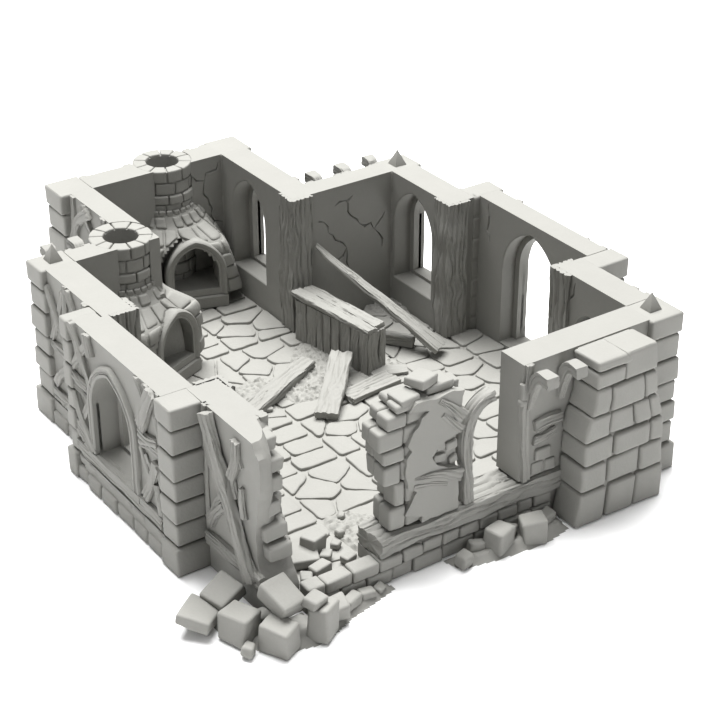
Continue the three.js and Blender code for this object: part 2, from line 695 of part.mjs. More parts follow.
// Middle of each end, on the floor or above it
const FLOOR_PLANKS = [
  { from: { x: 37.5, y: 80, above: 1.9 }, to: { x: 70.5, y: 96, above: 1.9 }, width: 6.4, thick: 3.4 },
  { from: { x: 56.8, y: 64.5, above: 1.6 }, to: { x: 79, y: 88.5, above: 6.4 }, width: 7.6, thick: PLANK },
  { from: { x: 68.2, y: 70.5, above: 1.2 }, to: { x: 89.2, y: 72.5, above: 1.2 }, width: 8, thick: 2 },
];
const COUNTER_SLACK = { x: 0.5, y: 2.1 }; // its far end stands this far from the post
function buildFurniture() {
  const { length, width, height, top, turn, lip } = COUNTER;
  const angle = THREE.MathUtils.degToRad(turn);
  const reach = length / 2 + lip;
  const x = roomRight + COUNTER_SLACK.x + (reach + POST_PROUD) * Math.sin(angle);
  const y = HALL_DEPTH - POST_PROUD - GAP - COUNTER_SLACK.y - reach * Math.cos(angle);
  const base = FLOOR_TOP + GAP;
  add('counter_body', stone(x, y, base + height / 2, width, length, height, turn), 0.92);
  const plank = stone(x, y, base + height + GAP + top / 2, width + 2 * lip, length + 2 * lip, top, turn);
  add('counter_top', plank, 1);

  const floor = FLOOR_TOP + GAP;
  const wallEnd = [roomRight + 9.4, HALL_DEPTH - 4, 34.5];
  add('leaning_plank', timber(wallEnd, [roomRight + 31.5, HALL_DEPTH - 43, floor + 2.6], 6.4, PLANK), 1);
  const beamEnd = [roomRight + 15.2, HALL_DEPTH - 17, floor + 2];
  add('fallen_beam', timber(beamEnd, [roomRight + 27.2, HALL_DEPTH - 33, floor + 2], 4, 3.8), 0.92);
  FLOOR_PLANKS.forEach(({ from, to, width: wide, thick }, i) => {
    const start = [from.x, from.y, floor + from.above];
    const end = [to.x, to.y, floor + to.above];
    add(`floor_plank_${i + 1}`, timber(start, end, wide, thick), 1);
  });
}

// ---- pins on the wall tops ----

function pin(name, x, y) {
  const geometry = new THREE.ConeGeometry(PIN_SIDE / Math.SQRT2, PIN_HEIGHT, 4);
  geometry.rotateX(Math.PI / 2);
  geometry.rotateZ(Math.PI / 4);
  geometry.translate(x, y, WALL_TOP + GAP + PIN_HEIGHT / 2);
  add(name, toSolid(geometry), 1);
}

function buildPins() {
  const inset = WALL / 2;
  pin('pin_left_rear', -inset, HALL_DEPTH + inset);
  pin('pin_right_rear', HALL_WIDTH + inset, HALL_DEPTH + THIN_WALL / 2);
  pin('pin_front_right', HALL_WIDTH + inset, -inset);
}

// ---- rubble ----

// Stones are measured from the outer corner where the left wall's face meets the front's.
function buildRubble() {
  const bed = raised(
    [
      [-14.7, 12.3],
      [-13.2, -0.7],
      [-6.7, -11.7],
      [7.3, -14.2],
      [19.3, -9.7],
      [37.3, -PLINTH_PROUD - 3],
      [37.3, -PLINTH_PROUD - GAP],
      [WALL - GAP, -PLINTH_PROUD - GAP],
      [WALL - GAP, 1.4],
      [-PLINTH_PROUD - 1.2, 1.4],
      [-PLINTH_PROUD - 1.2, 18.3],
    ],
    0,
    2.4,
  );
  const stones = [
    stone(-16.7, 11.9, 4.6, 12, 10, 4.4, 38, 8, 12),
    stone(-7.9, 13.9, 6.2, 9.5, 9, 4, 12, -24, 6),
    stone(-10.2, 1.5, 4.7, 7.6, 9.4, 9.2, 20),
    stone(-3.9, -8.7, 4.6, 7.4, 9, 9, 26),
    stone(0.5, -3.1, 12.2, 8.8, 10.6, 5.4, 14, 0, 24),
    stone(9, -10.1, 5.4, 8.4, 6.4, 10.6, 34),
    stone(7.1, -9.1, 12.2, 6.4, 5, 3, 22, 8, 6),
    stone(21.8, -5.2, 2.6, 6.5, 3.6, 3.4, 24),
  ];
  const heap = wasm.Manifold.union([bed, ...stones]).translate([-WALL, -WALL, 0]);
  const wallEnd = block(-WALL - 4, 1, -BROKEN_WALL_REACH - 5.3, 12, 0, WALL_TOP);
  add('rubble_heap', heap.subtract(wallEnd), 1.02);
  add('rubble_slab', stone(7.9, 6.4, FLOOR_TOP + GAP + 2.3, 11.6, 11, 2.6, -22, -4, 4), 1.04);

  const front = -WALL - PLINTH_PROUD - GAP;
  const mound = raised([[54, front], [66, front - 8], [80, front - 10], [86, front - 8], [86, front]], 0, 2);
  const blocks = [
    stone(62.6, front - 4.4, 4, 7.4, 6.6, 8, 20),
    stone(73.6, front - 6.2, 4, 7.6, 6.4, 8, -20),
  ];
  const cleared = block(0, BUTTRESS.x + BUTTRESS.width, front, 20, -1, WALL_TOP);
  const cheek = block(BUTTRESS.x - BUTTRESS.flare - GAP, 200, -60, 0, -1, WALL_TOP);
  add('rubble_by_buttress', wasm.Manifold.union([mound, ...blocks]).subtract(cleared).subtract(cheek), 1.02);
}

buildWalls();
buildBrokenWall();
buildQuoins();
buildButtress();
buildFloor();
buildPosts();
buildStruts();
buildFront();
buildLeftTimbers();
buildFurniture();
buildPins();
buildRubble();

// Centre the footprint on the origin. The house stands on z = 0.
const footprint = new THREE.Box3().setFromObject(house);
const centre = footprint.getCenter(new THREE.Vector3());
house.position.set(-centre.x, -centre.y, 0);
house.updateMatrixWorld(true);

export default house;
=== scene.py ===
import itertools
import math

import bmesh
import bpy
import mathutils
import numpy as np
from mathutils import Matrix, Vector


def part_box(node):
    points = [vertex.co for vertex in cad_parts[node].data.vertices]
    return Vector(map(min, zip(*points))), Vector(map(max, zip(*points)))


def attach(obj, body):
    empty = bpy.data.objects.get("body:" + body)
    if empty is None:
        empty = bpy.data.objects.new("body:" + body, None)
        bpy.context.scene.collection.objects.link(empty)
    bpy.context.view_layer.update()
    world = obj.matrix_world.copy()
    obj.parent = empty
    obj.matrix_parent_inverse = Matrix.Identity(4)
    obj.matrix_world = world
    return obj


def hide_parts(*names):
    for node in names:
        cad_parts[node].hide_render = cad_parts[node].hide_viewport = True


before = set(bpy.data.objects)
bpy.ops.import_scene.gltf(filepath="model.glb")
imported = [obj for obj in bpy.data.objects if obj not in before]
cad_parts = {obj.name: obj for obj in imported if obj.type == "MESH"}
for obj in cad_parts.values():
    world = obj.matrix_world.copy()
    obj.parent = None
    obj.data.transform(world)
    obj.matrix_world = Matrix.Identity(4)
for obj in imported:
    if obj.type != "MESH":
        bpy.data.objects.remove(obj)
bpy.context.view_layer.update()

MM = 0.001


# Every place below is measured from the hall's inner front-left corner at table level.
CORNER = np.array([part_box("wall_left_rear")[1][0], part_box("wall_front_right")[1][1], 0]) / MM


def box_mm(node):
    """Lowest and highest corner of a part of the frame, in millimetres from the hall's corner."""
    low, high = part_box(node)
    return np.array(low) / MM - CORNER, np.array(high) / MM - CORNER


# Driving places, all from the frame
WALL_TOP = box_mm("wall_rear")[1][2]
SEAT = WALL_TOP - 0.02  # tops of neighbours end this little lower, so that no two faces share a plane
FLOOR_TOP = box_mm("post_rear_room")[0][2] - 0.3
PLINTH_TOP = box_mm("floor_slab")[1][2]
BEAM_TOP = box_mm("front_sill_beam")[1][2]
HALL_WIDTH = box_mm("wall_right_window")[0][0]
HALL_DEPTH = box_mm("wall_rear_room_left")[0][1]
BAY_LEFT = box_mm("wall_left_window")[1][0]
BAY_RIGHT = box_mm("wall_doorway")[0][0]
ROOM_LEFT = box_mm("wall_rear_room_left")[1][0]
ROOM_RIGHT = box_mm("wall_rear_room_window")[0][0]
ROOM_REAR = box_mm("wall_rear")[0][1]
LEFT_BAY = (box_mm("quoin_left_bay_front")[1][1], box_mm("quoin_left_bay_rear")[0][1])
RIGHT_BAY = (box_mm("quoin_door_front")[1][1], box_mm("quoin_door_rear")[0][1])
WALL = 10.3
THIN_WALL = 8.3
PLINTH_PROUD = 1.4
GAP = 0.3


# ---------------------------------------------------------------- small tools

def deselect():
    bpy.ops.object.select_all(action="DESELECT")


def pick(thing):
    deselect()
    thing.select_set(True)
    bpy.context.view_layer.objects.active = thing


def unit(vector):
    vector = np.asarray(vector, float)
    return vector / np.linalg.norm(vector)


def lattice(i, j, k, seed):
    mixed = i * 374761393 + j * 668265263 + k * 1442695041 + seed * 1013904223
    mixed = (mixed ^ (mixed >> 13)) * 1274126177
    mixed = mixed ^ (mixed >> 16)
    return (mixed & 0xFFFF) / 32767.5 - 1.0


def noise(points, size, seed=0):
    """Smooth noise from -1 to 1 with lumps of the given size."""
    places = np.asarray(points, float) / size
    cell = np.floor(places).astype(np.int64)
    part = places - cell
    part = part * part * (3 - 2 * part)
    total = np.zeros(len(places))
    for corner in itertools.product((0, 1), repeat=3):
        step = np.array(corner)
        weight = np.prod(np.where(step == 1, part, 1 - part), axis=1)
        at = cell + step
        total += weight * lattice(at[:, 0], at[:, 1], at[:, 2], seed)
    return total


def turned(degrees, tip=0.0, roll=0.0):
    """Turn about Z after a tip about Y and a roll about X."""
    a, b, c = (math.radians(x) for x in (degrees, tip, roll))
    about_z = np.array([[math.cos(a), -math.sin(a), 0], [math.sin(a), math.cos(a), 0], [0, 0, 1]])
    about_y = np.array([[math.cos(b), 0, math.sin(b)], [0, 1, 0], [-math.sin(b), 0, math.cos(b)]])
    about_x = np.array([[1, 0, 0], [0, math.cos(c), -math.sin(c)], [0, math.sin(c), math.cos(c)]])
    return about_z @ about_y @ about_x


# ---------------------------------------------------------------- plastic

def plastic(name, tone, mottle, grain_size, relief):
    """Matt printed plastic: a warm grey with soft mottling, fine tooth and the print's layer lines."""
    material = bpy.data.materials.new(name)
    material.use_nodes = True
    nodes, links = material.node_tree.nodes, material.node_tree.links
    shader = nodes["Principled BSDF"]
    shader.inputs["Specular IOR Level"].default_value = 0.28
    place = nodes.new("ShaderNodeTexCoord").outputs["Object"]

    def cloud(scale, detail):
        node = nodes.new("ShaderNodeTexNoise")
        node.inputs["Scale"].default_value = scale
        node.inputs["Detail"].default_value = detail
        links.new(place, node.inputs["Vector"])
        return node.outputs["Fac"]

    def maths(operation, a, b):
        node = nodes.new("ShaderNodeMath")
        node.operation = operation
        for socket, value in zip(node.inputs, (a, b)):
            if isinstance(value, (int, float)):
                socket.default_value = value
            else:
                links.new(value, socket)
        return node.outputs[0]

    colours = nodes.new("ShaderNodeValToRGB")
    low, high = colours.color_ramp.elements
    low.position, high.position = 0.3, 0.7
    low.color = (*[c * (1 - mottle) for c in tone], 1)
    high.color = (*[c * (1 + mottle * 0.6) for c in tone], 1)
    broad = cloud(90, 3)
    fine = cloud(1400, 2)
    mixed = maths("ADD", maths("MULTIPLY", broad, 0.65), maths("MULTIPLY", fine, 0.35))
    links.new(mixed, colours.inputs["Fac"])
    links.new(colours.outputs["Color"], shader.inputs["Base Color"])
    links.new(maths("ADD", maths("MULTIPLY", cloud(300, 2), 0.18), 0.6), shader.inputs["Roughness"])

    # Layer lines: a fine ripple with height, uneven from layer to layer.
    split = nodes.new("ShaderNodeSeparateXYZ")
    links.new(place, split.inputs[0])
    wavering = maths("MULTIPLY", cloud(40, 1), 0.00012)
    height = maths("ADD", split.outputs["Z"], wavering)
    ripple = maths("SINE", maths("MULTIPLY", height, 2 * math.pi / 0.00042), 0.0)
    tooth = maths("MULTIPLY", cloud(grain_size, 3), relief)
    surface = maths("ADD", maths("MULTIPLY", ripple, 0.16), tooth)
    bump = nodes.new("ShaderNodeBump")
    bump.inputs["Strength"].default_value = 0.55
    bump.inputs["Distance"].default_value = 0.00006
    links.new(surface, bump.inputs["Height"])
    links.new(bump.outputs["Normal"], shader.inputs["Normal"])
    return material


TONE = (0.235, 0.2325, 0.2155)
FINISH = {
    "plaster": plastic("printed_plaster", TONE, 0.035, 700, 1.4),
    "stone": plastic("printed_stone", tuple(c * 1.02 for c in TONE), 0.05, 1100, 2.4),
    "timber": plastic("printed_timber", tuple(c * 0.985 for c in TONE), 0.05, 1500, 1.6),
    "flagstone": plastic("printed_flagstone", tuple(c * 1.03 for c in TONE), 0.06, 900, 2.8),
}


# ---------------------------------------------------------------- pieces

class Shape:
    """Points in millimetres and faces that become one piece."""

    def __init__(self):
        self.points, self.faces, self.count = [], {}, 0

    def add(self, points, *face_groups):
        for faces in face_groups:
            faces = np.asarray(faces, np.int64)
            if len(faces):
                self.faces.setdefault(faces.shape[1], []).append(faces + self.count)
        self.points.append(np.asarray(points, float))
        self.count += len(points)

    def mesh(self, name):
        mesh = bpy.data.meshes.new(name)
        points = (np.vstack(self.points) + CORNER) * MM
        points[:, 2] = np.maximum(points[:, 2], 0.0)  # nothing reaches below the table
        groups = [np.vstack(group) for group in self.faces.values()]
        sizes = np.concatenate([np.full(len(group), group.shape[1]) for group in groups])
        corners = np.concatenate([group.ravel() for group in groups])
        starts = np.concatenate([[0], np.cumsum(sizes)[:-1]])
        mesh.vertices.add(len(points))
        mesh.vertices.foreach_set("co", points.ravel())
        mesh.loops.add(len(corners))
        mesh.loops.foreach_set("vertex_index", corners.astype(np.int32))
        mesh.polygons.add(len(sizes))
        mesh.polygons.foreach_set("loop_start", starts.astype(np.int32))
        mesh.update(calc_edges=True)
        mesh.validate()
        return mesh

    def thing(self, name):
        """An object with this shape, its faces turned outwards."""
        made = bpy.data.objects.new(name, self.mesh(name))
        bpy.context.scene.collection.objects.link(made)
        face_outwards(made)
        return made

    def keep_between(self, lowest=-np.inf, highest=np.inf):
        """Presses points that lie too low or too high to that height."""
        for points in self.points:
            np.clip(points[:, 2], lowest, highest, out=points[:, 2])

    def piece(self, name, slot, *nodes, angle=38, also=()):
        """Makes the piece, joins the ready-made parts in `also` to it, and stands it for `nodes`."""
        return finish(self.thing(name), slot, *nodes, angle=angle, also=also)


def face_outwards(thing):
    pick(thing)
    bpy.ops.object.mode_set(mode="EDIT")
    bpy.ops.mesh.select_all(action="SELECT")
    bpy.ops.mesh.normals_make_consistent(inside=False)
    bpy.ops.object.mode_set(mode="OBJECT")


def ease_edges(thing, chosen, width, segments, **kinds):
    """Rounds the edges for which `chosen` is true."""
    pick(thing)
    bpy.ops.object.mode_set(mode="EDIT")
    bpy.ops.mesh.select_all(action="DESELECT")
    bpy.ops.mesh.select_mode(type="EDGE")
    grid = bmesh.from_edit_mesh(thing.data)
    for edge in grid.edges:
        edge.select_set(bool(chosen(edge)))
    bmesh.update_edit_mesh(thing.data)
    bpy.ops.mesh.bevel(offset=width, segments=segments, affect="EDGES", **kinds)
    bpy.ops.object.mode_set(mode="OBJECT")


def remove(thing):
    mesh = thing.data
    bpy.data.objects.remove(thing)
    bpy.data.meshes.remove(mesh)


def ring_quads(rings, count, closed=True, looped=False):
    """Quads between rings of `count` points each. A closed ring ends where it starts, and in a
    looped row of rings the last is joined to the first."""
    k, i = np.meshgrid(np.arange(rings - (not looped)), np.arange(count - (not closed)), indexing="ij")
    after, right = (k + 1) % rings, (i + 1) % count
    corners = [k * count + i, k * count + right, after * count + right, after * count + i]
    return np.stack(corners, axis=-1).reshape(-1, 4)


def finish(thing, slot, *nodes, angle=38, also=()):
    """Gives a piece its finish and says which body it rides and which nodes it stands for."""
    pick(thing)
    for part in also:
        part.select_set(True)
    if also:
        bpy.ops.object.join()
    thing.data.materials.clear()
    thing.data.materials.append(FINISH[slot])
    if angle:
        bpy.ops.object.shade_smooth_by_angle(angle=math.radians(angle))
    else:
        bpy.ops.object.shade_flat()
    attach(thing, "root")
    if nodes:
        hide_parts(*nodes)
    return thing


# ---------------------------------------------------------------- stones

ROUND = 0.3  # share of a master stone's half-size that its rounded edge takes


def master_stone(cuts, segments):
    """A two-unit cube, gridded by `cuts`, with its twelve edges rounded. Every stone is a copy of one."""
    deselect()
    bpy.ops.mesh.primitive_cube_add(size=2)
    stone = bpy.context.object
    bpy.ops.object.mode_set(mode="EDIT")
    bpy.ops.mesh.select_all(action="SELECT")
    if cuts:
        bpy.ops.mesh.subdivide(number_cuts=cuts)
    bpy.ops.object.mode_set(mode="OBJECT")

    def on_rim(edge):
        middle = (edge.verts[0].co + edge.verts[1].co) / 2
        return sum(abs(abs(c) - 1) < 1e-4 for c in middle) >= 2

    ease_edges(stone, on_rim, ROUND, segments)
    points = np.array([v.co for v in stone.data.vertices])
    groups = {}
    for face in stone.data.polygons:
        groups.setdefault(len(face.vertices), []).append(tuple(face.vertices))
    remove(stone)
    return points, [np.array(group) for group in groups.values()]


FINE_STONE = master_stone(3, 3)
SMALL_STONE = master_stone(0, 2)


def cut_stone(shape, low, high, seed, radius=0.7, rough=0.3, pitted=0.08, place=None, master=FINE_STONE):
    """A copy of a master stone stretched to a box, with its corners shifted and its faces uneven.
    `place` moves its points from the box's own coordinates to where it lies."""
    points, faces = master
    low, high = np.asarray(low, float), np.asarray(high, float)
    half = (high - low) / 2
    edge = np.minimum(radius, half * 0.85)
    flat = 1 - ROUND
    inside = points / flat * (half - edge)
    rim = np.sign(points) * (half - edge * (1 - np.abs(points)) / ROUND)
    local = np.where(np.abs(points) <= flat + 1e-6, inside, rim)
    rng = np.random.default_rng(seed)
    shift = rng.uniform(-rough, rough, (2, 2, 2, 3))
    share = (local / half + 1) / 2
    for corner in itertools.product((0, 1), repeat=3):
        step = np.array(corner)
        weight = np.prod(np.where(step == 1, share, 1 - share), axis=1)
        local = local + weight[:, None] * shift[corner]
    outward = points / np.linalg.norm(points, axis=1)[:, None]
    if pitted:
        local = local + outward * (pitted * noise(local + seed * 7.3, 1.9, seed))[:, None]
    placed = local + (low + high) / 2
    shape.add(placed if place is None else place(placed), *faces)


def tilted_stone(shape, centre, size, seed, turn=0.0, tip=0.0, roll=0.0, **kinds):
    """A stone about its centre, turned and tipped."""
    matrix, centre, half = turned(turn, tip, roll), np.array(centre, float), np.array(size, float) / 2
    cut_stone(shape, -half, half, seed, place=lambda p: p @ matrix.T + centre, **kinds)


def plain_box(shape, low, high):
    """A hidden core, such as the mortar behind stones."""
    low, high = np.asarray(low, float), np.asarray(high, float)
    signs = np.array(list(itertools.product((0, 1), repeat=3)))
    points = np.where(signs == 1, high, low)
    faces = [(0, 1, 3, 2), (4, 6, 7, 5), (0, 4, 5, 1), (2, 3, 7, 6), (0, 2, 6, 4), (1, 5, 7, 3)]
    shape.add(points, faces)


# ---------------------------------------------------------------- timber

def grain(along, across, seed, knots, spacing):
    """How deep the wood's grain lies, from 0 on the ridges to 1 in the grooves. The lines run along
    and flow round the knots, which have rings of their own."""
    flow = across.astype(float).copy()
    ring = np.full(len(along), np.inf)
    for knot_along, knot_across, size in knots:
        away_a, away_c = (along - knot_along) / 1.7, across - knot_across
        square = np.maximum(away_a**2 + away_c**2, 1e-6)
        flow -= away_c * size**2 / np.maximum(square, size**2)
        ring = np.where(square < size**2, np.sqrt(square) / spacing * 1.25, ring)
    places = np.stack([along / 5.0, flow, np.full(len(along), seed * 3.7)], axis=1)
    phase = flow / spacing + 0.75 * noise(places, 1.6, seed)
    phase = np.where(np.isfinite(ring), ring, phase)
    coarse = (1 - np.abs(np.sin(math.pi * phase))) ** 1.3
    strength = 0.72 + 0.28 * noise(places + 11, 1.1, seed + 5)
    hair = (1 - np.abs(np.sin(math.pi * phase * 3.1))) ** 2
    return coarse * strength + 0.16 * hair


def section_of(corners, step=0.32, passes=2):
    """Points all round a closed outline, with its corners eased, their outward normals and their
    distance along the outline. The corners run anticlockwise."""
    corners = np.asarray(corners, float)
    points = []
    for start, end in zip(corners, np.roll(corners, -1, axis=0)):
        count = max(2, int(np.linalg.norm(end - start) / step))
        points.extend(start + (end - start) * k / count for k in range(count))
    points = np.array(points)
    for _ in range(passes):
        points = points * 0.5 + (np.roll(points, 1, axis=0) + np.roll(points, -1, axis=0)) * 0.25
    tangent = np.roll(points, -1, axis=0) - np.roll(points, 1, axis=0)
    normal = np.stack([tangent[:, 1], -tangent[:, 0]], axis=1)
    normal /= np.linalg.norm(normal, axis=1)[:, None]
    lengths = np.linalg.norm(np.diff(points, axis=0), axis=1)
    return points, normal, np.concatenate([[0], np.cumsum(lengths)])


def oblong(width, thick):
    """A board's section, starting in the middle of its hidden back."""
    a, b = width / 2, thick / 2
    return [(0, -b), (a, -b), (a, b), (-a, b), (-a, -b)]


def along_path(path, step):
    path = np.asarray(path, float)
    lengths = np.concatenate([[0], np.cumsum(np.linalg.norm(np.diff(path, axis=0), axis=1))])
    count = max(3, int(lengths[-1] / step) + 1)
    at = np.linspace(0, lengths[-1], count)
    return np.stack([np.interp(at, lengths, path[:, i]) for i in range(3)], axis=1), at


def curve_through(points, steps=10):
    """A smooth curve through a few points (Catmull-Rom)."""
    p = np.asarray(points, float)
    p = np.vstack([2 * p[0] - p[1], p, 2 * p[-1] - p[-2]])
    made = []
    for i in range(1, len(p) - 2):
        for k in range(steps):
            t = k / steps
            made.append(0.5 * (2 * p[i] + (p[i + 1] - p[i - 1]) * t
                               + (2 * p[i - 1] - 5 * p[i] + 4 * p[i + 1] - p[i + 2]) * t * t
                               + (3 * p[i] - p[i - 1] - 3 * p[i + 1] + p[i + 2]) * t**3))
    made.append(p[-2])
    return np.array(made)


def timber(shape, path, corners, out, seed, knots=(), depth=0.55, spacing=1.7, wave=0.28,
           ends=(0.0, 0.0), step=0.6, taper=(1.0, 1.0), flat_top=None, flat_caps=False):
    """A grained timber along a path. `corners` is its section, whose +y side faces `out`.
    `ends` are how ragged its two ends are broken."""
    centre, at = along_path(path, step)
    points, normal, around = section_of(corners)
    tangent = np.gradient(centre, axis=0)
    tangent /= np.linalg.norm(tangent, axis=1)[:, None]
    out = np.asarray(out, float)
    up = out - (tangent @ out)[:, None] * tangent
    up /= np.linalg.norm(up, axis=1)[:, None]
    side = np.cross(tangent, up)
    rows, columns = len(centre), len(points)
    a = np.repeat(at, columns)
    c = np.tile(around, rows)
    share = a / at[-1]
    x = np.tile(points[:, 0], rows)
    y = np.tile(points[:, 1], rows)
    nx = np.tile(normal[:, 0], rows)
    ny = np.tile(normal[:, 1], rows)
    grow = taper[0] + (taper[1] - taper[0]) * share
    x, y = x * grow, y * grow
    dig = -depth * grain(a, c, seed, knots, spacing)
    dig += wave * noise(np.stack([a, c * 0.5, np.full(len(a), seed)], axis=1), 6.0, seed + 1)
    x, y = x + nx * dig, y + ny * dig
    x = x + 0.9 * wave * noise(np.stack([a, np.full(len(a), seed * 9.1), a * 0], axis=1), 9.0, seed + 2)
    body = (np.repeat(centre, columns, axis=0) + side.repeat(columns, axis=0) * x[:, None]
            + up.repeat(columns, axis=0) * y[:, None])
    rag = np.zeros(len(body))
    for end, amount in enumerate(ends):
        if amount:
            near = np.clip(1 - (share if end == 0 else 1 - share) * at[-1] / (3 * amount), 0, 1)
            places = np.stack([x, y * 0.5, np.full(len(x), seed * 5.0)], axis=1)
            teeth = noise(places, 1.1, seed + 9 + end)
            rag += (1 if end == 0 else -1) * near * amount * (0.5 + 0.5 * teeth)
    body += tangent.repeat(columns, axis=0) * rag[:, None]
    quads = ring_quads(rows, columns)
    if flat_top is not None:
        body[:, 2] = np.minimum(body[:, 2], flat_top)
    if flat_caps:
        shape.add(body, quads, [np.arange(columns)[::-1]], [np.arange(columns) + (rows - 1) * columns])
        return
    caps, triangles, rings = [], [], []
    count = len(body)
    for row, ways in ((0, -1), (rows - 1, 1)):
        outer = body[row * columns:(row + 1) * columns]
        middle = outer.mean(axis=0)
        last = np.arange(columns) + row * columns
        for share_in in (0.72, 0.4):
            ring = middle + (outer - middle) * share_in
            chip = noise(ring, 1.0, seed + 21) * 0.25 * (1 if max(ends) else 0.35)
            ring = ring + tangent[row] * ways * chip[:, None]
            here = np.arange(columns) + count
            caps.append(ring)
            count += columns
            rings.append(np.stack([last, np.roll(last, -1), np.roll(here, -1), here], axis=1))
            last = here
        caps.append(middle[None, :])
        triangles.append(np.stack([last, np.roll(last, -1), np.full(columns, count)], axis=1))
        count += 1
    everything = np.vstack([body, *caps])
    if flat_top is not None:
        everything[:, 2] = np.minimum(everything[:, 2], flat_top)
    shape.add(everything, quads, *rings, *triangles)


class WallFace:
    """Outer or inner face of a wall: u runs along it from `start`, and n stands out of it."""

    def __init__(self, start, along, out):
        self.start = np.array([start[0], start[1], 0.0])
        self.along = unit([along[0], along[1], 0])
        self.out = unit([out[0], out[1], 0])

    def at(self, u, z, n=0.0):
        return self.start + self.along * u + self.out * n + np.array([0, 0, z])

    def board(self, shape, points, width, seed, proud=1.3, thick=2.4, knots=(), **kinds):
        """A timber let into the face, standing out of it by `proud`."""
        path = curve_through([self.at(u, z, proud - thick / 2) for u, z in points])
        timber(shape, path, oblong(width, thick), self.out, seed, knots=knots, **kinds)

    def stone(self, shape, u0, u1, z0, z1, seed, n0=-0.8, n1=1.7, **kinds):
        def place(p):
            up = np.array([0, 0, 1.0])
            return self.start + p[:, :1] * self.along + p[:, 1:2] * self.out + p[:, 2:] * up
        cut_stone(shape, (u0, n0, z0), (u1, n1, z1), seed, place=place, **kinds)


def plinth(shape, face, length, seed, proud=1.75, skip=(), start=0.0):
    """Two courses of stone along the foot of a wall: long blocks below and thin ones above."""
    rng = np.random.default_rng(seed)
    for z0, z1, shortest, longest in ((0.0, 5.4, 7.5, 12.5), (5.6, PLINTH_TOP + 0.2, 5.0, 9.5)):
        u = start + 0.15
        while u < length - 0.5:
            size = rng.uniform(shortest, longest)
            end = length - 0.15 if length - (u + size) < shortest * 0.7 else u + size
            out = proud + rng.uniform(-0.3, 0.3) + (-0.35 if z0 else 0.45)
            if not any(a < (u + end) / 2 < b for a, b in skip):
                face.stone(shape, u, end - 0.45, z0, z1 - 0.2, int(rng.integers(1e6)), n1=out, rough=0.25,
                           radius=0.9)
            u = end


# ---------------------------------------------------------------- plaster walls

def wall_core(node, name):
    """The wall's own solid, from the frame, cleaned so that it can be cut and eased."""
    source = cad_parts[node]
    core = bpy.data.objects.new(name, source.data.copy())
    bpy.context.scene.collection.objects.link(core)
    pick(core)
    bpy.ops.object.mode_set(mode="EDIT")
    bpy.ops.mesh.select_all(action="SELECT")
    bpy.ops.mesh.remove_doubles(threshold=1e-6)
    bpy.ops.mesh.dissolve_limited(angle_limit=math.radians(0.5))
    bpy.ops.object.mode_set(mode="OBJECT")
    return core


def stretch(core, axis, side, amount):
    """Moves a wall's end face outwards, to meet its neighbour."""
    places = np.array([v.co for v in core.data.vertices]) / MM
    end = places[:, axis].max() if side > 0 else places[:, axis].min()
    places[np.abs(places[:, axis] - end) < 0.02, axis] += side * amount
    core.data.vertices.foreach_set("co", (places * MM).astype(np.float32).ravel())
    core.data.update()


def ease_opening(core, side, width=0.45):
    """Rounds the edge of a window or door on the room side, and leaves the wall's outline sharp."""
    places = np.array([v.co for v in core.data.vertices])
    low, high = places.min(0), places.max(0)
    thin = 0 if high[0] - low[0] < high[1] - low[1] else 1
    long = 1 - thin
    face = FACES[side].start[thin] * MM + CORNER[thin] * MM
    above_floor, below_top, off_ends = 5.2 * MM, 0.5 * MM, 1 * MM

    def on_opening(edge):
        inside = all(low[long] + off_ends < v.co[long] < high[long] - off_ends
                     and above_floor < v.co[2] < high[2] - below_top
                     and abs(v.co[thin] - face) < 1e-5 for v in edge.verts)
        return inside and len(edge.link_faces) == 2 and edge.calc_face_angle(0) > math.radians(40)

    ease_edges(core, on_opening, width * MM, 2, clamp_overlap=True)


def crack_cutter(face, line, width, depth, seed):
    """A thin wedge along a broken line on a wall face, widest in its middle and closed at its ends."""
    rng = np.random.default_rng(seed)
    line = np.asarray(line, float)
    steps = np.diff(line, axis=0)
    direction = np.gradient(line, axis=0)
    direction /= np.linalg.norm(direction, axis=1)[:, None]
    across = np.stack([-direction[:, 1], direction[:, 0]], axis=1)
    count = len(line)
    shares = np.concatenate([[0], np.cumsum(np.linalg.norm(steps, axis=1))])
    shares /= shares[-1]
    half = width / 2 * (0.25 + 0.75 * np.sin(math.pi * shares) ** 0.5) * rng.uniform(0.75, 1.25, count)
    points = []
    for (u, z), (du, dz), h, s in zip(line, across, half, shares):
        deep = depth * (0.35 + 0.65 * math.sin(math.pi * min(max(s, 0.02), 0.98)))
        points.append(face.at(u - du * h, z - dz * h, 0.12))
        points.append(face.at(u + du * h, z + dz * h, 0.12))
        points.append(face.at(u + du * h * rng.uniform(-0.5, 0.5), z, -deep))
    faces3 = [(0, 1, 2), (3 * count - 3, 3 * count - 1, 3 * count - 2)]
    faces4 = []
    for i in range(count - 1):
        a, b = 3 * i, 3 * i + 3
        faces4 += [(a, b, b + 1, a + 1), (a + 1, b + 1, b + 2, a + 2), (a + 2, b + 2, b, a)]
    shape = Shape()
    shape.add(points, faces3, faces4)
    return shape.thing("crack_cutter")


def cut(core, cutter):
    pick(core)
    change = core.modifiers.new("cut", "BOOLEAN")
    change.operation = "DIFFERENCE"
    change.solver = "EXACT"
    change.object = cutter
    bpy.ops.object.modifier_apply(modifier="cut")
    remove(cutter)


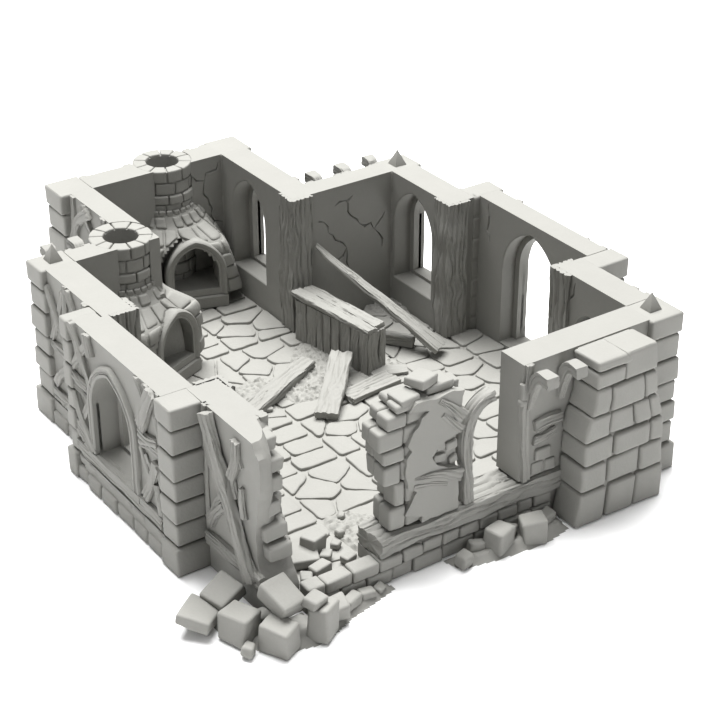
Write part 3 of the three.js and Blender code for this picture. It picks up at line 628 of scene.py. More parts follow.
def wander(start, end, seed, sway=1.6, step=2.2):
    """A jagged line from one point to another."""
    start, end = np.asarray(start, float), np.asarray(end, float)
    length = np.linalg.norm(end - start)
    count = max(3, int(length / step) + 1)
    shares = np.linspace(0, 1, count)
    rng = np.random.default_rng(seed)
    across = np.array([-(end - start)[1], (end - start)[0]]) / length
    swing = rng.uniform(-sway, sway, count)
    swing[0] = swing[-1] = 0
    slip = rng.uniform(-0.3, 0.3, count) * step
    slip[0] = slip[-1] = 0
    return [tuple(start + (end - start) * s + across * w + (end - start) / length * p)
            for s, w, p in zip(shares, swing, slip)]


def crack(core, face, lines, seed, width=1.0, depth=0.95):
    for i, (start, end) in enumerate(lines):
        cut(core, crack_cutter(face, wander(start, end, seed + i * 13), width, depth, seed + i))


# ---------------------------------------------------------------- arches

def arch_points(centre, half, sill, top):
    """A pointed opening from one foot over its point to the other foot."""
    rise = min(half * 1.25, (top - sill) * 0.7)
    radius = (half * half + rise * rise) / (2 * half)
    sweep = math.asin(min(1, rise / radius))
    points = [(centre + half, sill + (top - rise - sill) * k / 14) for k in range(14)]
    points += [(centre + half - radius + radius * math.cos(sweep * k / 12),
                top - rise + radius * math.sin(sweep * k / 12)) for k in range(13)]
    points += [(2 * centre - u, z) for u, z in points[-2::-1]]
    return points


def arch_band(shape, at, centre, half, sill, top, profile, wobble=0.0, seed=0, foot=0.0):
    """A moulding round a pointed opening. `profile` is a closed list of (distance outside the
    opening, distance out of the wall), and `at` turns (along, height, out) into a place."""
    rings = []
    for width, out in profile:
        line = arch_points(centre, half + width, sill - foot * (width > 0.01), top + width)
        rings.append([(u, z, out) for u, z in line])
    loops = np.array(rings)
    sections, count = len(profile), loops.shape[1]
    if wobble:
        shift = noise(loops.reshape(-1, 3) + seed, 4.0, seed).reshape(sections, count)
        loops[:, :, 2] += wobble * shift * (loops[:, :, 2] > 0)
        swing = noise(loops.reshape(-1, 3) * [1, 1, 0] + seed, 5.0, seed + 1).reshape(sections, count)
        outer = np.array([w for w, _ in profile]) > max(w for w, _ in profile) * 0.6
        loops[outer, :, 0] += wobble * 1.2 * swing[outer]
    points = [at(u, z, n) for ring in loops for u, z, n in ring]
    quads = ring_quads(sections, count, closed=False, looped=True)
    first = [[k * count for k in range(sections)]]
    last = [[k * count + count - 1 for k in reversed(range(sections))]]
    shape.add(points, quads, first, last)


def window_trim(shape, face, centre, half, sill, top, width, seed, proud=1.3):
    """Timber trim round a window: a broad band with a raised lip on both edges."""
    profile = [(0.0, -1.0), (0.0, proud), (0.35, proud + 0.3), (0.95, proud + 0.3), (1.2, proud - 0.15),
               (width * 0.45, proud + 0.1), (width - 1.4, proud - 0.1), (width - 1.15, proud + 0.2),
               (width - 0.45, proud + 0.15), (width, proud - 0.4), (width, -1.0)]
    arch_band(shape, face.at, centre, half, sill, top, profile, wobble=0.16, seed=seed)


def sill_board(shape, face, centre, half, sill, seed, proud=1.9, deep=2.6):
    z = sill - deep / 2
    face.board(shape, [(centre - half, z), (centre, z - 0.25), (centre + half, z)], deep, seed,
               proud=proud, thick=4.0, depth=0.22, wave=0.16)


# ---------------------------------------------------------------- walls

FRONT_WALL_START = 74.2  # where the front wall starts, right of the broken window
FACES = {
    # the rooms' own sides
    "rear": WallFace((ROOM_LEFT, ROOM_REAR), (1, 0), (0, -1)),
    "rear_left": WallFace((ROOM_LEFT, ROOM_REAR), (0, -1), (1, 0)),
    "rear_right": WallFace((ROOM_RIGHT, HALL_DEPTH), (0, 1), (-1, 0)),
    "jetty": WallFace((ROOM_RIGHT, HALL_DEPTH), (1, 0), (0, -1)),
    "left_oven": WallFace((0, HALL_DEPTH), (1, 0), (0, -1)),
    "right": WallFace((HALL_WIDTH, RIGHT_BAY[1]), (0, 1), (-1, 0)),
    "door": WallFace((BAY_RIGHT, RIGHT_BAY[0]), (0, 1), (-1, 0)),
    "side": WallFace((HALL_WIDTH, 0), (0, 1), (-1, 0)),
    "left": WallFace((BAY_LEFT, LEFT_BAY[1]), (0, -1), (1, 0)),
    "left_rear": WallFace((0, LEFT_BAY[1]), (0, 1), (1, 0)),
    "front": WallFace((FRONT_WALL_START, 0), (1, 0), (0, 1)),
    # the weather sides
    "out_left": WallFace((BAY_LEFT - WALL, LEFT_BAY[1] - GAP), (0, -1), (-1, 0)),
    "out_left_rear": WallFace((-WALL, HALL_DEPTH - GAP), (0, -1), (-1, 0)),
    "out_left_oven": WallFace((0, HALL_DEPTH + THIN_WALL), (1, 0), (0, 1)),
    "out_rear_left": WallFace((ROOM_LEFT - THIN_WALL, ROOM_REAR - GAP), (0, -1), (-1, 0)),
    "out_rear": WallFace((ROOM_LEFT, ROOM_REAR + WALL), (1, 0), (0, 1)),
    "out_rear_right": WallFace((ROOM_RIGHT + WALL, HALL_DEPTH), (0, 1), (1, 0)),
    "out_jetty": WallFace((ROOM_RIGHT + WALL, HALL_DEPTH + THIN_WALL), (1, 0), (0, 1)),
    "out_right": WallFace((HALL_WIDTH + WALL, RIGHT_BAY[1]), (0, 1), (1, 0)),
    "out_door": WallFace((BAY_RIGHT + THIN_WALL, RIGHT_BAY[0]), (0, 1), (1, 0)),
    "out_side": WallFace((HALL_WIDTH + WALL, 0), (0, 1), (1, 0)),
    "out_front": WallFace((FRONT_WALL_START, -WALL), (1, 0), (0, -1)),
}

# Wall: (frame part, ends that reach out to close a joint, cracked faces with their lines)
PLASTER_WALLS = [
    ("wall_rear", [(0, -1, 0.3), (0, 1, 0.3)], "rear",
     [((33, 52.5), (38.4, 49.6)), ((38.4, 49.6), (43.4, 46.6)), ((43.4, 46.6), (49.3, 52.4)),
      ((38.4, 49.6), (35, 38)),
      ((43.4, 46.6), (45.5, 33)), ((45.5, 33), (41, 25)), ((45.5, 33), (50.2, 29))]),
    ("wall_rear_room_window", [(1, 1, 0.3)], "rear_right", [((3, 50), (8, 38)), ((8, 38), (4.5, 27))]),
    ("wall_jetty_right", [(0, -1, 1.7), (0, 1, 0.3)], "jetty",
     [((9.6, 44.2), (12.5, 43.2)), ((12.5, 43.2), (14.3, 38.8)), ((14.3, 38.8), (21.9, 31)),
      ((21.9, 31), (22.9, 23)),
      ((16.8, 48.1), (21.5, 49)), ((21.5, 49), (27.3, 38.8)), ((21.5, 49), (24.6, 50.2)),
      ((27.3, 38.8), (33.5, 35)),
      ((33.5, 35), (37, 27)), ((21.9, 31), (17.5, 27)), ((33.5, 35), (38.4, 41))]),
    ("wall_right_window", [(1, 1, 0.3)], "right", [((3, 54), (5.5, 42)), ((5.5, 42), (3, 30))]),
    ("wall_doorway", [(1, 1, 0.3), (1, -1, 0.3)], "door", [((3.5, 50), (6.5, 37)), ((50, 54), (48.5, 40))]),
    ("wall_front_right_side", [(1, -1, 0.3)], "side",
     [((2, 50), (6, 40)), ((6, 40), (3, 27)), ((23, 53), (27, 41)), ((27, 41), (23.5, 26)),
      ((27, 41), (31, 37))]),
    ("wall_front_right", [(0, 1, 0.3)], "front",
     [((10, 54), (14, 43)), ((14, 43), (9, 30)), ((14, 43), (24, 39))]),
    ("wall_rear_room_left", [(1, 1, 0.3)], "rear_left", [((20, 54), (17, 40)), ((17, 40), (24, 28))]),
    ("wall_left_oven", [(0, -1, 0.3), (0, 1, 1.7)], "left_oven",
     [((1.5, 50), (6, 42)), ((6, 42), (3, 30)), ((6, 42), (10, 36)), ((3, 30), (1.2, 22))]),
    ("wall_left_rear", [(1, 1, 0.3)], "left_rear",
     [((8, 54.5), (12, 44)), ((12, 44), (24, 40)), ((12, 44), (9, 28))]),
    ("wall_left_window", [(1, 1, 0.3), (1, -1, 0.3)], "left", [((40, 54), (37, 43)), ((37, 43), (42, 30))]),
]


def build_plaster_walls():
    for i, (node, ends, side, lines) in enumerate(PLASTER_WALLS):
        core = wall_core(node, node.replace("wall_", "plaster_wall_"))
        for axis, way, amount in ends:
            stretch(core, axis, way, amount)
        ease_opening(core, side)
        crack(core, FACES[side], lines, 100 + 17 * i)
        finish(core, "plaster", node, angle=0)


REBATE = 2.2  # openings are narrower by this on their weather side
OUTER_HALF = 21.7 / 2 - REBATE  # half-width of a window there
OUTER_SILL = 15 + REBATE / 2
OUTER_TOP = 50.7 - REBATE
WEATHERED = {"depth": 0.6, "spacing": 1.55, "wave": 0.35, "ends": (0.5, 0.5)}


def frame_timbers(shape, face, lines, seed, **kinds):
    """Timbers on the weather side. Each line is (u, z, u, z, width, proud) with an optional middle
    bend and knot."""
    for i, line in enumerate(lines):
        u0, z0, u1, z1, width, proud = line[:6]
        bend = line[6] if len(line) > 6 else 0.0
        knots = [(line[7], width, width * 0.3)] if len(line) > 7 else []
        run = np.array([u1 - u0, z1 - z0])
        across = np.array([-run[1], run[0]]) / np.linalg.norm(run)
        middle = np.array([u0 + u1, z0 + z1]) / 2 + across * bend
        face.board(shape, [(u0, z0), tuple(middle), (u1, z1)], width, seed + i, proud=proud,
                   knots=knots, flat_top=SEAT, **kinds)


def build_weather_side(name, side, length, timbers, seed, window=None, start=0.0):
    """Plinth stones, bottom rail, window trim and braces on one outer face."""
    face = FACES[side]
    stones = Shape()
    plinth(stones, face, length, seed, start=start)
    stones.piece(f"plinth_{name}", "stone")
    woods = Shape()
    if window:
        centre, half, sill, top, width = window
        window_trim(woods, face, centre, half, sill, top, width, seed + 1)
        sill_board(woods, face, centre, half + width + 0.6, sill, seed + 2)
    frame_timbers(woods, face, timbers, seed + 10, **WEATHERED)
    woods.piece(f"timbers_{name}", "timber")


def random_braces(length, seed, window=None):
    """Braces for a weather side: a bottom rail, end studs and crossing diagonals beside the window."""
    rng = np.random.default_rng(seed)
    top = WALL_TOP
    lines = [(0.2, 12.3, length - 0.2, 12.3 + rng.uniform(-0.5, 0.5), 5.2, 1.5, rng.uniform(-0.6, 0.6),
              length * 0.4)]
    if window:
        left, right = window[0] - window[1] - window[4], window[0] + window[1] + window[4]
        panels = [(0.4, left - 0.2), (right + 0.2, length - 0.4)]
    elif length > 30:
        panels = [(0.4 + length * k / 2, length * (k + 1) / 2 - 0.4) for k in range(2)]
    else:
        panels = [(0.4, length - 0.4)]
    for a, b in panels:
        if b - a < 3:
            continue
        lines.append((a + 1.2, 15, a + 1.2, top + 0.3, 2.8, 1.1, rng.uniform(-0.5, 0.5)))
        lines.append((b - 1.2, 15, b - 1.2, top + 0.3, 2.8, 1.0, rng.uniform(-0.5, 0.5)))
        middle = rng.uniform(32, 37)
        lines.append((a + 0.5, middle, b - 0.5, middle + rng.uniform(-2, 2), 3.2, 1.35,
                      rng.uniform(-0.7, 0.7)))
        lines.append((a + 1.5, 16, b - 1.5, middle - 1, 2.9, 1.2, rng.uniform(-0.8, 0.8)))
        lines.append((a + 1.5, top, b - 1.5, middle + 2, 2.9, 1.2, rng.uniform(-0.8, 0.8)))
        if b - a > 9:
            lines.append((b - 1.5, 16.5, a + 1.5, middle - 2, 2.5, 0.9, rng.uniform(-0.8, 0.8)))
            lines.append((b - 1.5, top, a + 1.5, middle + 3, 2.5, 0.9, rng.uniform(-0.8, 0.8)))
    return lines


def build_weather_sides():
    # Left bay, the side that shows most. Its wall runs on a little way behind the rear corner stones.
    return_wall = Shape()
    outer = BAY_LEFT - WALL
    plain_box(return_wall, (outer + 0.02, LEFT_BAY[1] - 0.4, 0),
              (-WALL - 0.2, LEFT_BAY[1] + 4.6, SEAT - 0.02))
    return_wall.piece("plaster_behind_braces", "plaster")
    window_middle = LEFT_BAY[1] - GAP - 62.9
    window = (window_middle, 11.7, 14.6, 46.6, 3.4)
    timbers = [
        (-4.4, 11.6, 49, 12.2, 4.4, 1.7, 0.7, 34),
        (-3.6, 55.2, 7.4, 36.4, 3.4, 1.7, 0.3),
        (6.4, 55.2, 8.8, 48.0, 3.6, 1.5, -0.2),
        (-4.1, 39.1, 5.5, 50.2, 3.0, 1.1, 0.5),
        (-4.6, 37.0, 5.6, 35.6, 2.9, 1.5, -0.5),
        (-4.6, 33.4, 5.4, 31.4, 2.4, 1.0, 0.3),
        (-4.0, 31.5, 7.0, 14.6, 3.4, 1.9, -0.5),
        (-4.2, 15.8, 5.2, 31.0, 3.0, 1.2, 0.3),
        (-4.6, 19.4, 6.0, 14.6, 5.0, 1.35, 0.4, 4.6),
        (37.8, 39.6, 46.0, 54.9, 5.2, 1.9, 0.2),
        (35.6, 55.2, 40.6, 47.6, 2.8, 1.0, 0.3),
        (40.6, 55.2, 44.2, 53.0, 2.2, 0.9, -0.3),
        (36.4, 37.2, 47.7, 39.0, 3.1, 1.5, -0.8),
        (36.2, 33.6, 48.8, 35.5, 3.1, 1.2, 0.7),
        (36.4, 32.4, 42.6, 20.4, 2.4, 1.0, 0.2),
        (38.8, 31.0, 43.4, 24.4, 2.0, 0.8, 0.3),
        (46.6, 31.4, 38.4, 15.6, 4.0, 1.7, 0.4, 8),
        (45.6, 24.4, 48.0, 14.6, 3.0, 1.5, -0.2),
        (46.3, 47.2, 48.6, 38.6, 2.6, 1.0, 0.2),
        (46.7, 31.7, 48.8, 24.0, 2.6, 1.1, 0.1),
        (47.8, 38.0, 48.2, 55.2, 2.6, 0.8, 0.2),
    ]
    length = LEFT_BAY[1] - LEFT_BAY[0] - 2 * GAP
    build_weather_side("left_bay", "out_left", length, timbers, 900, window, start=-4.6)
    # Left wall behind the bay
    upper = HALL_DEPTH - LEFT_BAY[1] - 8.6
    timbers = [
        (0.2, 12.0, upper, 12.4, 4.6, 1.6, -0.5, 9),
        (0.4, 50.5, 12.5, 30.0, 3.2, 1.5, 0.8),
        (1.0, 31.0, 11.0, 52.0, 2.6, 0.9, -0.6),
        (0.3, 30.0, upper, 27.5, 3.2, 1.3, 0.8),
        (1.5, 15.5, 13.0, 27.0, 3.4, 1.5, 0.7, 6),
        (12.0, 15.5, 24.5, 33.0, 3.0, 1.2, -0.9),
        (26.5, 15.0, 26.8, 55.2, 3.0, 1.2, 0.5),
        (15.0, 55.2, 25.5, 36.0, 3.0, 1.4, 0.5),
        (13.5, 34.0, 24.0, 46.0, 2.4, 0.9, -0.5),
        (13.4, 29.0, 13.0, 55.2, 2.8, 1.0, 0.4),
    ]
    build_weather_side("left_rear", "out_left_rear", upper - 0.2, timbers, 940)
    # Rear room's left wall
    timbers = [
        (0.2, 12.0, 25.6, 12.4, 4.6, 1.5, 0.6, 14),
        (1.0, 38.0, 14.0, 53.5, 4.2, 1.9, 2.2, 9),
        (9.0, 54.8, 25.0, 36.0, 3.4, 1.5, -1.6, 11),
        (2.0, 36.0, 18.0, 30.0, 3.4, 1.4, 1.4),
        (13.0, 30.0, 25.6, 45.0, 3.0, 1.2, 1.0),
        (1.5, 15.5, 2.2, 55.2, 3.0, 1.1, 0.4),
        (5.0, 15.0, 20.0, 29.0, 3.0, 1.2, 0.8),
        (22.0, 15.0, 23.4, 55.2, 3.0, 1.0, -0.6),
    ]
    build_weather_side("rear_left", "out_rear_left", 25.8, timbers, 960)
    # The sides that face away: (name, number its seeds come from, length, window)
    away = [
        ("rear_right", 2, 46.0, (29.3, OUTER_HALF, OUTER_SILL, OUTER_TOP, 4.6)),
        ("jetty", 3, HALL_WIDTH - ROOM_RIGHT - WALL, None),
        ("right", 4, 33.0, (20.8, OUTER_HALF, OUTER_SILL, OUTER_TOP, 3.2)),
        ("side", 6, RIGHT_BAY[0] - 8.9, (16.05, 3.8, 25.1, 41.8, 3.4)),
    ]
    for name, i, length, window in away:
        if name == "side":
            build_door_side()
        build_weather_side(name, f"out_{name}", length, random_braces(length, 70 + i, window), 1000 + 40 * i,
                           window)
    build_stack_side("rear", "out_rear", 50.7, box_mm("rear_chimney_stack"), 1400)
    build_stack_side("left_oven", "out_left_oven", 20.2, box_mm("left_chimney_stack"), 1500)


def build_stack_side(name, side, length, stack, seed):
    """An outer face that a chimney stands through: the timbers stop on both sides of it."""
    face = FACES[side]
    middle = (stack[0][0] + stack[1][0]) / 2 - face.start[0]
    reach = (stack[1][0] - stack[0][0]) / 2
    out = stack[1][1] - reach - face.start[1]
    half = math.sqrt(max(reach**2 - out**2, 0)) + 0.4
    stones, woods = Shape(), Shape()
    plinth(stones, face, length, seed, skip=[(middle - reach - 1.6, middle + reach + 1.6)])
    for a, b in ((0.3, middle - half - 0.5), (middle + half + 0.5, length - 0.3)):
        if b - a < 4:
            continue
        rng = np.random.default_rng(seed + int(a))
        lines = [(a, 12.2, b, 12.3, 5.0, 1.5, 0.2), (a + 1.3, 15, a + 1.3, 55.3, 2.8, 1.1, 0.4),
                 (b - 1.3, 15, b - 1.3, 55.3, 2.8, 1.1, -0.4), (a + 1, 34, b - 1, 34.5, 3.2, 1.4, 0.5),
                 (a + 1.5, 15.5, b - 1.5, 33, 2.9, 1.2, rng.uniform(-0.8, 0.8)),
                 (b - 1.5, 55, a + 1.5, 36, 2.9, 1.2, rng.uniform(-0.8, 0.8))]
        if b - a < 8:
            lines = lines[:4]
        frame_timbers(woods, face, lines, seed + 30, **WEATHERED)
    stones.piece(f"plinth_{name}", "stone")
    woods.piece(f"timbers_{name}", "timber")


def build_door_side():
    face = FACES["out_door"]
    length = RIGHT_BAY[1] - RIGHT_BAY[0]
    middle, half = length / 2, 27.8 / 2 - REBATE
    stones, woods = Shape(), Shape()
    plinth(stones, face, length, 1200, skip=[(middle - half - 3.6, middle + half + 3.6)])
    stones.piece("plinth_door", "stone")
    window_trim(woods, face, middle, half, 0.1, OUTER_TOP, 3.6, 1210)
    lines = []
    for a, b, flip in ((0.4, middle - half - 4.0, 0), (middle + half + 4.0, length - 0.4, 1)):
        lines += [(a, 12.2, b, 12.3, 5.0, 1.4, 0.2), (a + 1.2, 15, a + 1.2, 55.3, 2.6, 1.1, 0.3),
                  (a + 1, 33, b - 1, 34.5, 3.0, 1.4, 0.3)]
        zig = [(a + 1.2, 15.5, b - 1.0, 32), (a + 1.2, 36, b - 1.0, 54.5)]
        lines += [(p[2], p[1], p[0], p[3], 2.7, 1.2, 0.4) if flip else (*p, 2.7, 1.2, 0.4) for p in zig]
    frame_timbers(woods, face, lines, 1230, **WEATHERED)
    woods.piece("timbers_door", "timber")


# ---------------------------------------------------------------- corner stones

COURSES = [0, 0.17, 0.31, 0.44, 0.57, 0.72, 0.87, 1]  # shares of the wall's height
# Name: (outward way in x, outward way in y)
QUOINS = {
    "rear_left": (-1, 1), "rear_right": (1, 1), "left_rear": (-1, 1), "right_rear": (1, 1),
    "left_bay_rear": (-1, 1), "left_bay_front": (-1, -1), "door_rear": (1, 1), "door_front": (1, -1),
    "front_right": (1, -1),
}


def build_quoins():
    for i, (name, (way_x, way_y)) in enumerate(QUOINS.items()):
        low, high = box_mm(f"quoin_{name}")
        stones = Shape()
        inward = 2.1
        core_low = low + [inward if way_x < 0 else -0.2, inward if way_y < 0 else -0.2, 0.05]
        core_high = high - [inward if way_x > 0 else -0.2, inward if way_y > 0 else -0.2, 0.7]
        plain_box(stones, core_low, core_high)
        if name == "left_bay_rear":
            low[1] += 3.9
        for course in range(len(COURSES) - 1):
            z0, z1 = COURSES[course] * WALL_TOP, COURSES[course + 1] * WALL_TOP
            inset = 0.15 if course % 2 == 0 else 0.6
            a, b = low.copy(), high.copy()
            grow = 0.75 if course == 0 else 0.0
            a[0] += inset - grow if way_x < 0 else -0.45
            b[0] -= inset - grow if way_x > 0 else -0.45
            a[1] += inset - grow if way_y < 0 else -0.45
            b[1] -= inset - grow if way_y > 0 else -0.45
            a[2], b[2] = z0 + (0.27 if course else 0.0), z1 - 0.27
            if course == len(COURSES) - 2:
                b[2] = SEAT
            cut_stone(stones, a, b, 300 + 10 * i + course, radius=0.75, rough=0.16, pitted=0.06)
        stones.keep_between(highest=SEAT)
        stones.piece(f"quoin_stones_{name}", "stone", f"quoin_{name}")


# ---------------------------------------------------------------- buttress

def build_buttress():
    low, high = box_mm("buttress")
    heights = [0, 11.6, 20.6, 28.5, 36.9, 45.8, 51.5, WALL_TOP]
    left_z, left_x = [0, 8, 16, 24, 33, 41, 55], [87.0, 88.6, 89.5, 89.2, 90.0, 92.4, 92.1]
    right_z, right_x = [0, 10, 20, 28, 37, 45, 55], [121.6, 121.3, 120.8, 120.4, 117.4, 115.9, 114.9]
    # Shares of the width at which each course's stones part, from the bottom up
    joints = [(0.33, 0.66), (0.3, 0.7), (0.36, 0.82), (0.3, 0.62, 0.84), (0.26, 0.78), (0.46,), (0.58,)]
    stones = Shape()
    core = 1.6
    for z0, z1 in zip(heights[:-1], heights[1:]):
        a = max(np.interp(z0, left_z, left_x), np.interp(z1, left_z, left_x)) + core
        b = min(np.interp(z0, right_z, right_x), np.interp(z1, right_z, right_x)) - core
        plain_box(stones, (a, low[1] + core, z0 + 0.02), (b, high[1] + 0.2, min(z1, SEAT - 0.5) + 0.05))

    def place(p):
        z = np.clip(p[:, 2], 0, WALL_TOP)
        a, b = np.interp(z, left_z, left_x), np.interp(z, right_z, right_x)
        return np.stack([a + (b - a) * p[:, 0] / 30.0, p[:, 1], p[:, 2]], axis=1)

    for row, (z0, z1) in enumerate(zip(heights[:-1], heights[1:])):
        edges = [0.0, *joints[row], 1.0]
        out = [-0.2, 0.25, -0.1, 0.3, 0.0, 0.2, 0.0][row]
        for k, (a, b) in enumerate(zip(edges[:-1], edges[1:])):
            top = z1 - 0.22
            base = z0 + (0.22 if row else 0)
            if row == 5 and k == 1:
                top = SEAT  # a tall stone stands through two courses
            if row == 6 and k == 1:
                continue
            if row == 6:
                top = SEAT
            seed = 700 + row * 10 + k
            wide = (a * 30 + 0.24 - (0.4 if k == 0 and row % 2 else 0), b * 30 - 0.24)
            front = low[1] + out - 0.25 * ((k + row) % 2) + 0.2
            cut_stone(stones, (wide[0], front, base), (wide[1], high[1] + 0.25, top), seed,
                      radius=1.0, rough=0.3, pitted=0.1, place=place)
    stones.keep_between(highest=SEAT)
    stones.piece("buttress_stones", "stone", "buttress")


# ---------------------------------------------------------------- floor

def clip(polygon, normal, limit):
    """The part of a convex polygon where normal . point <= limit."""
    kept = []
    for p, q in zip(polygon, np.roll(polygon, -1, axis=0)):
        a, b = p @ normal - limit, q @ normal - limit
        if a <= 0:
            kept.append(p)
        if (a < 0 < b) or (b < 0 < a):
            kept.append(p + (q - p) * a / (a - b))
    return np.array(kept)


def flagstone(shape, corners, seed, top=FLOOR_TOP, deep=1.1, rough=0.05, tilt=0.18):
    """A flat stone with worn edges and a slightly uneven top."""
    points = []
    for p, q in zip(corners, np.roll(corners, -1, axis=0)):
        count = max(1, int(np.linalg.norm(q - p) / 1.1))
        points.extend(p + (q - p) * k / count for k in range(count))
    points = np.array(points)
    for _ in range(2):
        points = points * 0.5 + (np.roll(points, 1, axis=0) + np.roll(points, -1, axis=0)) * 0.25
    middle = points.mean(axis=0)
    flat = np.column_stack([points, np.zeros(len(points))])
    points = points + np.stack([noise(flat, 2.2, seed), noise(flat + 50, 2.2, seed)], axis=1) * 0.22
    rng = np.random.default_rng(seed)
    lean = rng.uniform(-tilt, tilt, 2) / 6
    rise = rng.uniform(-0.1, 0.08)
    reach = np.linalg.norm(points - middle, axis=1).mean()
    count = len(points)
    rings = []
    for inset, down in ((0.0, deep), (0.0, 0.42), (0.12, 0.16), (0.42, 0.02), (1.3, 0.0)):
        share = max(0.25, 1 - inset / reach)
        ring = middle + (points - middle) * share
        z = top - down + rise + (ring - middle) @ lean
        if down < 0.5:
            z = z + rough * noise(np.column_stack([ring, ring[:, :1] * 0]), 2.4, 5)
        rings.append(np.column_stack([ring, z]))
    last = np.vstack(rings + [[*middle, rings[-1][:, 2].mean()]])
    quads = ring_quads(len(rings), count)
    base = (len(rings) - 1) * count
    triangles = [(base + i, base + (i + 1) % count, len(last) - 1) for i in range(count)]
    shape.add(last, quads, triangles, [list(range(count))[::-1]])


def paving(shape, low, high, seed, size=10.5, groove=0.62):
    """Crazy paving in a rectangle."""
    low, high = np.array(low, float), np.array(high, float)
    rng = np.random.default_rng(seed)
    span = high - low
    nx, ny = max(1, round(span[0] / size)), max(1, round(span[1] / (size * 0.82)))
    seeds = []
    for j in range(ny):
        for i in range(nx):
            x = (i + 0.5 + (0.25 if j % 2 else -0.25) + rng.uniform(-0.3, 0.3)) / nx
            y = (j + 0.5 + rng.uniform(-0.34, 0.34)) / ny
            seeds.append(low + span * np.clip([x, y], 0.06, 0.94))
    seeds = np.array(seeds)
    edge = np.array([[low[0], low[1]], [high[0], low[1]], [high[0], high[1]], [low[0], high[1]]])
    for i, here in enumerate(seeds):
        cell = edge
        for j, there in enumerate(seeds):
            if i == j or np.linalg.norm(there - here) > 3.2 * size:
                continue
            normal = unit(there - here)
            cell = clip(cell, normal, normal @ (here + there) / 2 - groove / 2)
            if len(cell) < 3:
                break
        if len(cell) < 3:
            continue
        x, y = cell.T
        if 0.5 * abs(x @ np.roll(y, -1) - y @ np.roll(x, -1)) >= 2.5:  # slivers are left out
            flagstone(shape, cell, seed * 1000 + i)


def paved_room(shape, low, high, seed, pitch=25.4, seam=1.0):
    """Paving laid in squares, with a straight seam between them."""
    low, high = np.array(low, float), np.array(high, float)
    counts = np.maximum(1, np.round((high - low) / pitch)).astype(int)
    for i in range(counts[0]):
        for j in range(counts[1]):
            a = low + (high - low) * [i / counts[0], j / counts[1]] + seam / 2
            b = low + (high - low) * [(i + 1) / counts[0], (j + 1) / counts[1]] - seam / 2
            if (3 * i + 5 * j + seed) % 4 == 0:
                cut_tiles(shape, a, b, seed + i * 7 + j)
            else:
                paving(shape, a, b, seed + i * 7 + j)


def cut_tiles(shape, low, high, seed, groove=0.7):
    """A square laid with three rows of straight-cut tiles."""
    rng = np.random.default_rng(seed)
    levels = low[1] + (high[1] - low[1]) * np.array([0, rng.uniform(0.28, 0.38), rng.uniform(0.62, 0.7), 1])
    for row, (y0, y1) in enumerate(zip(levels[:-1], levels[1:])):
        parting = low[0] + (high[0] - low[0]) * rng.uniform(0.35, 0.65)
        for k, (x0, x1) in enumerate(((low[0], parting), (parting, high[0]))):
            a, b = x0 + groove / 2 * (k > 0), x1 - groove / 2 * (k == 0)
            c, d = y0 + groove / 2 * (row > 0), y1 - groove / 2 * (row < 2)
            flagstone(shape, np.array([[a, c], [b, c], [b, d], [a, d]]), seed * 1000 + row * 10 + k)


def gravel(shape, centre, reach, seed, height=0.9, step=0.42):
    """A low patch of grit that thins out towards its edge."""
    centre, reach = np.array(centre, float), np.array(reach, float)
    nx, ny = (2 * reach / step).astype(int)
    u, v = np.meshgrid(np.linspace(-1, 1, nx), np.linspace(-1, 1, ny), indexing="ij")
    flat = np.stack([u.ravel() * reach[0], v.ravel() * reach[1], np.zeros(u.size)], axis=1)
    edge = np.hypot(u.ravel(), v.ravel()) + 0.16 * noise(flat + seed, 4.0, seed)
    body = np.clip(1 - edge, 0, 1)
    bumps = 0.9 * np.abs(noise(flat + seed, 1.3, seed + 1)) + 0.5 * noise(flat, 0.8, seed + 2)
    z = FLOOR_TOP - 0.7 + np.minimum(body * 5, 1) * 0.85 + body * height * 0.6
    z = z + bumps * np.minimum(body * 6, 1)
    place = np.column_stack([flat[:, :2] + centre, z])
    i, j = np.meshgrid(np.arange(nx - 1), np.arange(ny - 1), indexing="ij")
    corners = [i * ny + j, (i + 1) * ny + j, (i + 1) * ny + j + 1, i * ny + j + 1]
    quads = np.stack(corners, axis=-1).reshape(-1, 4)
    rim = np.concatenate([np.arange(nx) * ny, (nx - 1) * ny + np.arange(1, ny),
                          np.arange(nx - 2, -1, -1) * ny + ny - 1, np.arange(ny - 2, 0, -1)])
    foot = place[rim] * [1, 1, 0] + [0, 0, FLOOR_TOP - 1.4]
    count, total = len(rim), len(place)
    after = np.roll(np.arange(count), -1)
    skirt = np.stack([rim, total + np.arange(count), total + after, rim[after]], axis=1)
    shape.add(np.vstack([place, foot]), quads, skirt, [total + np.arange(count)[::-1]])


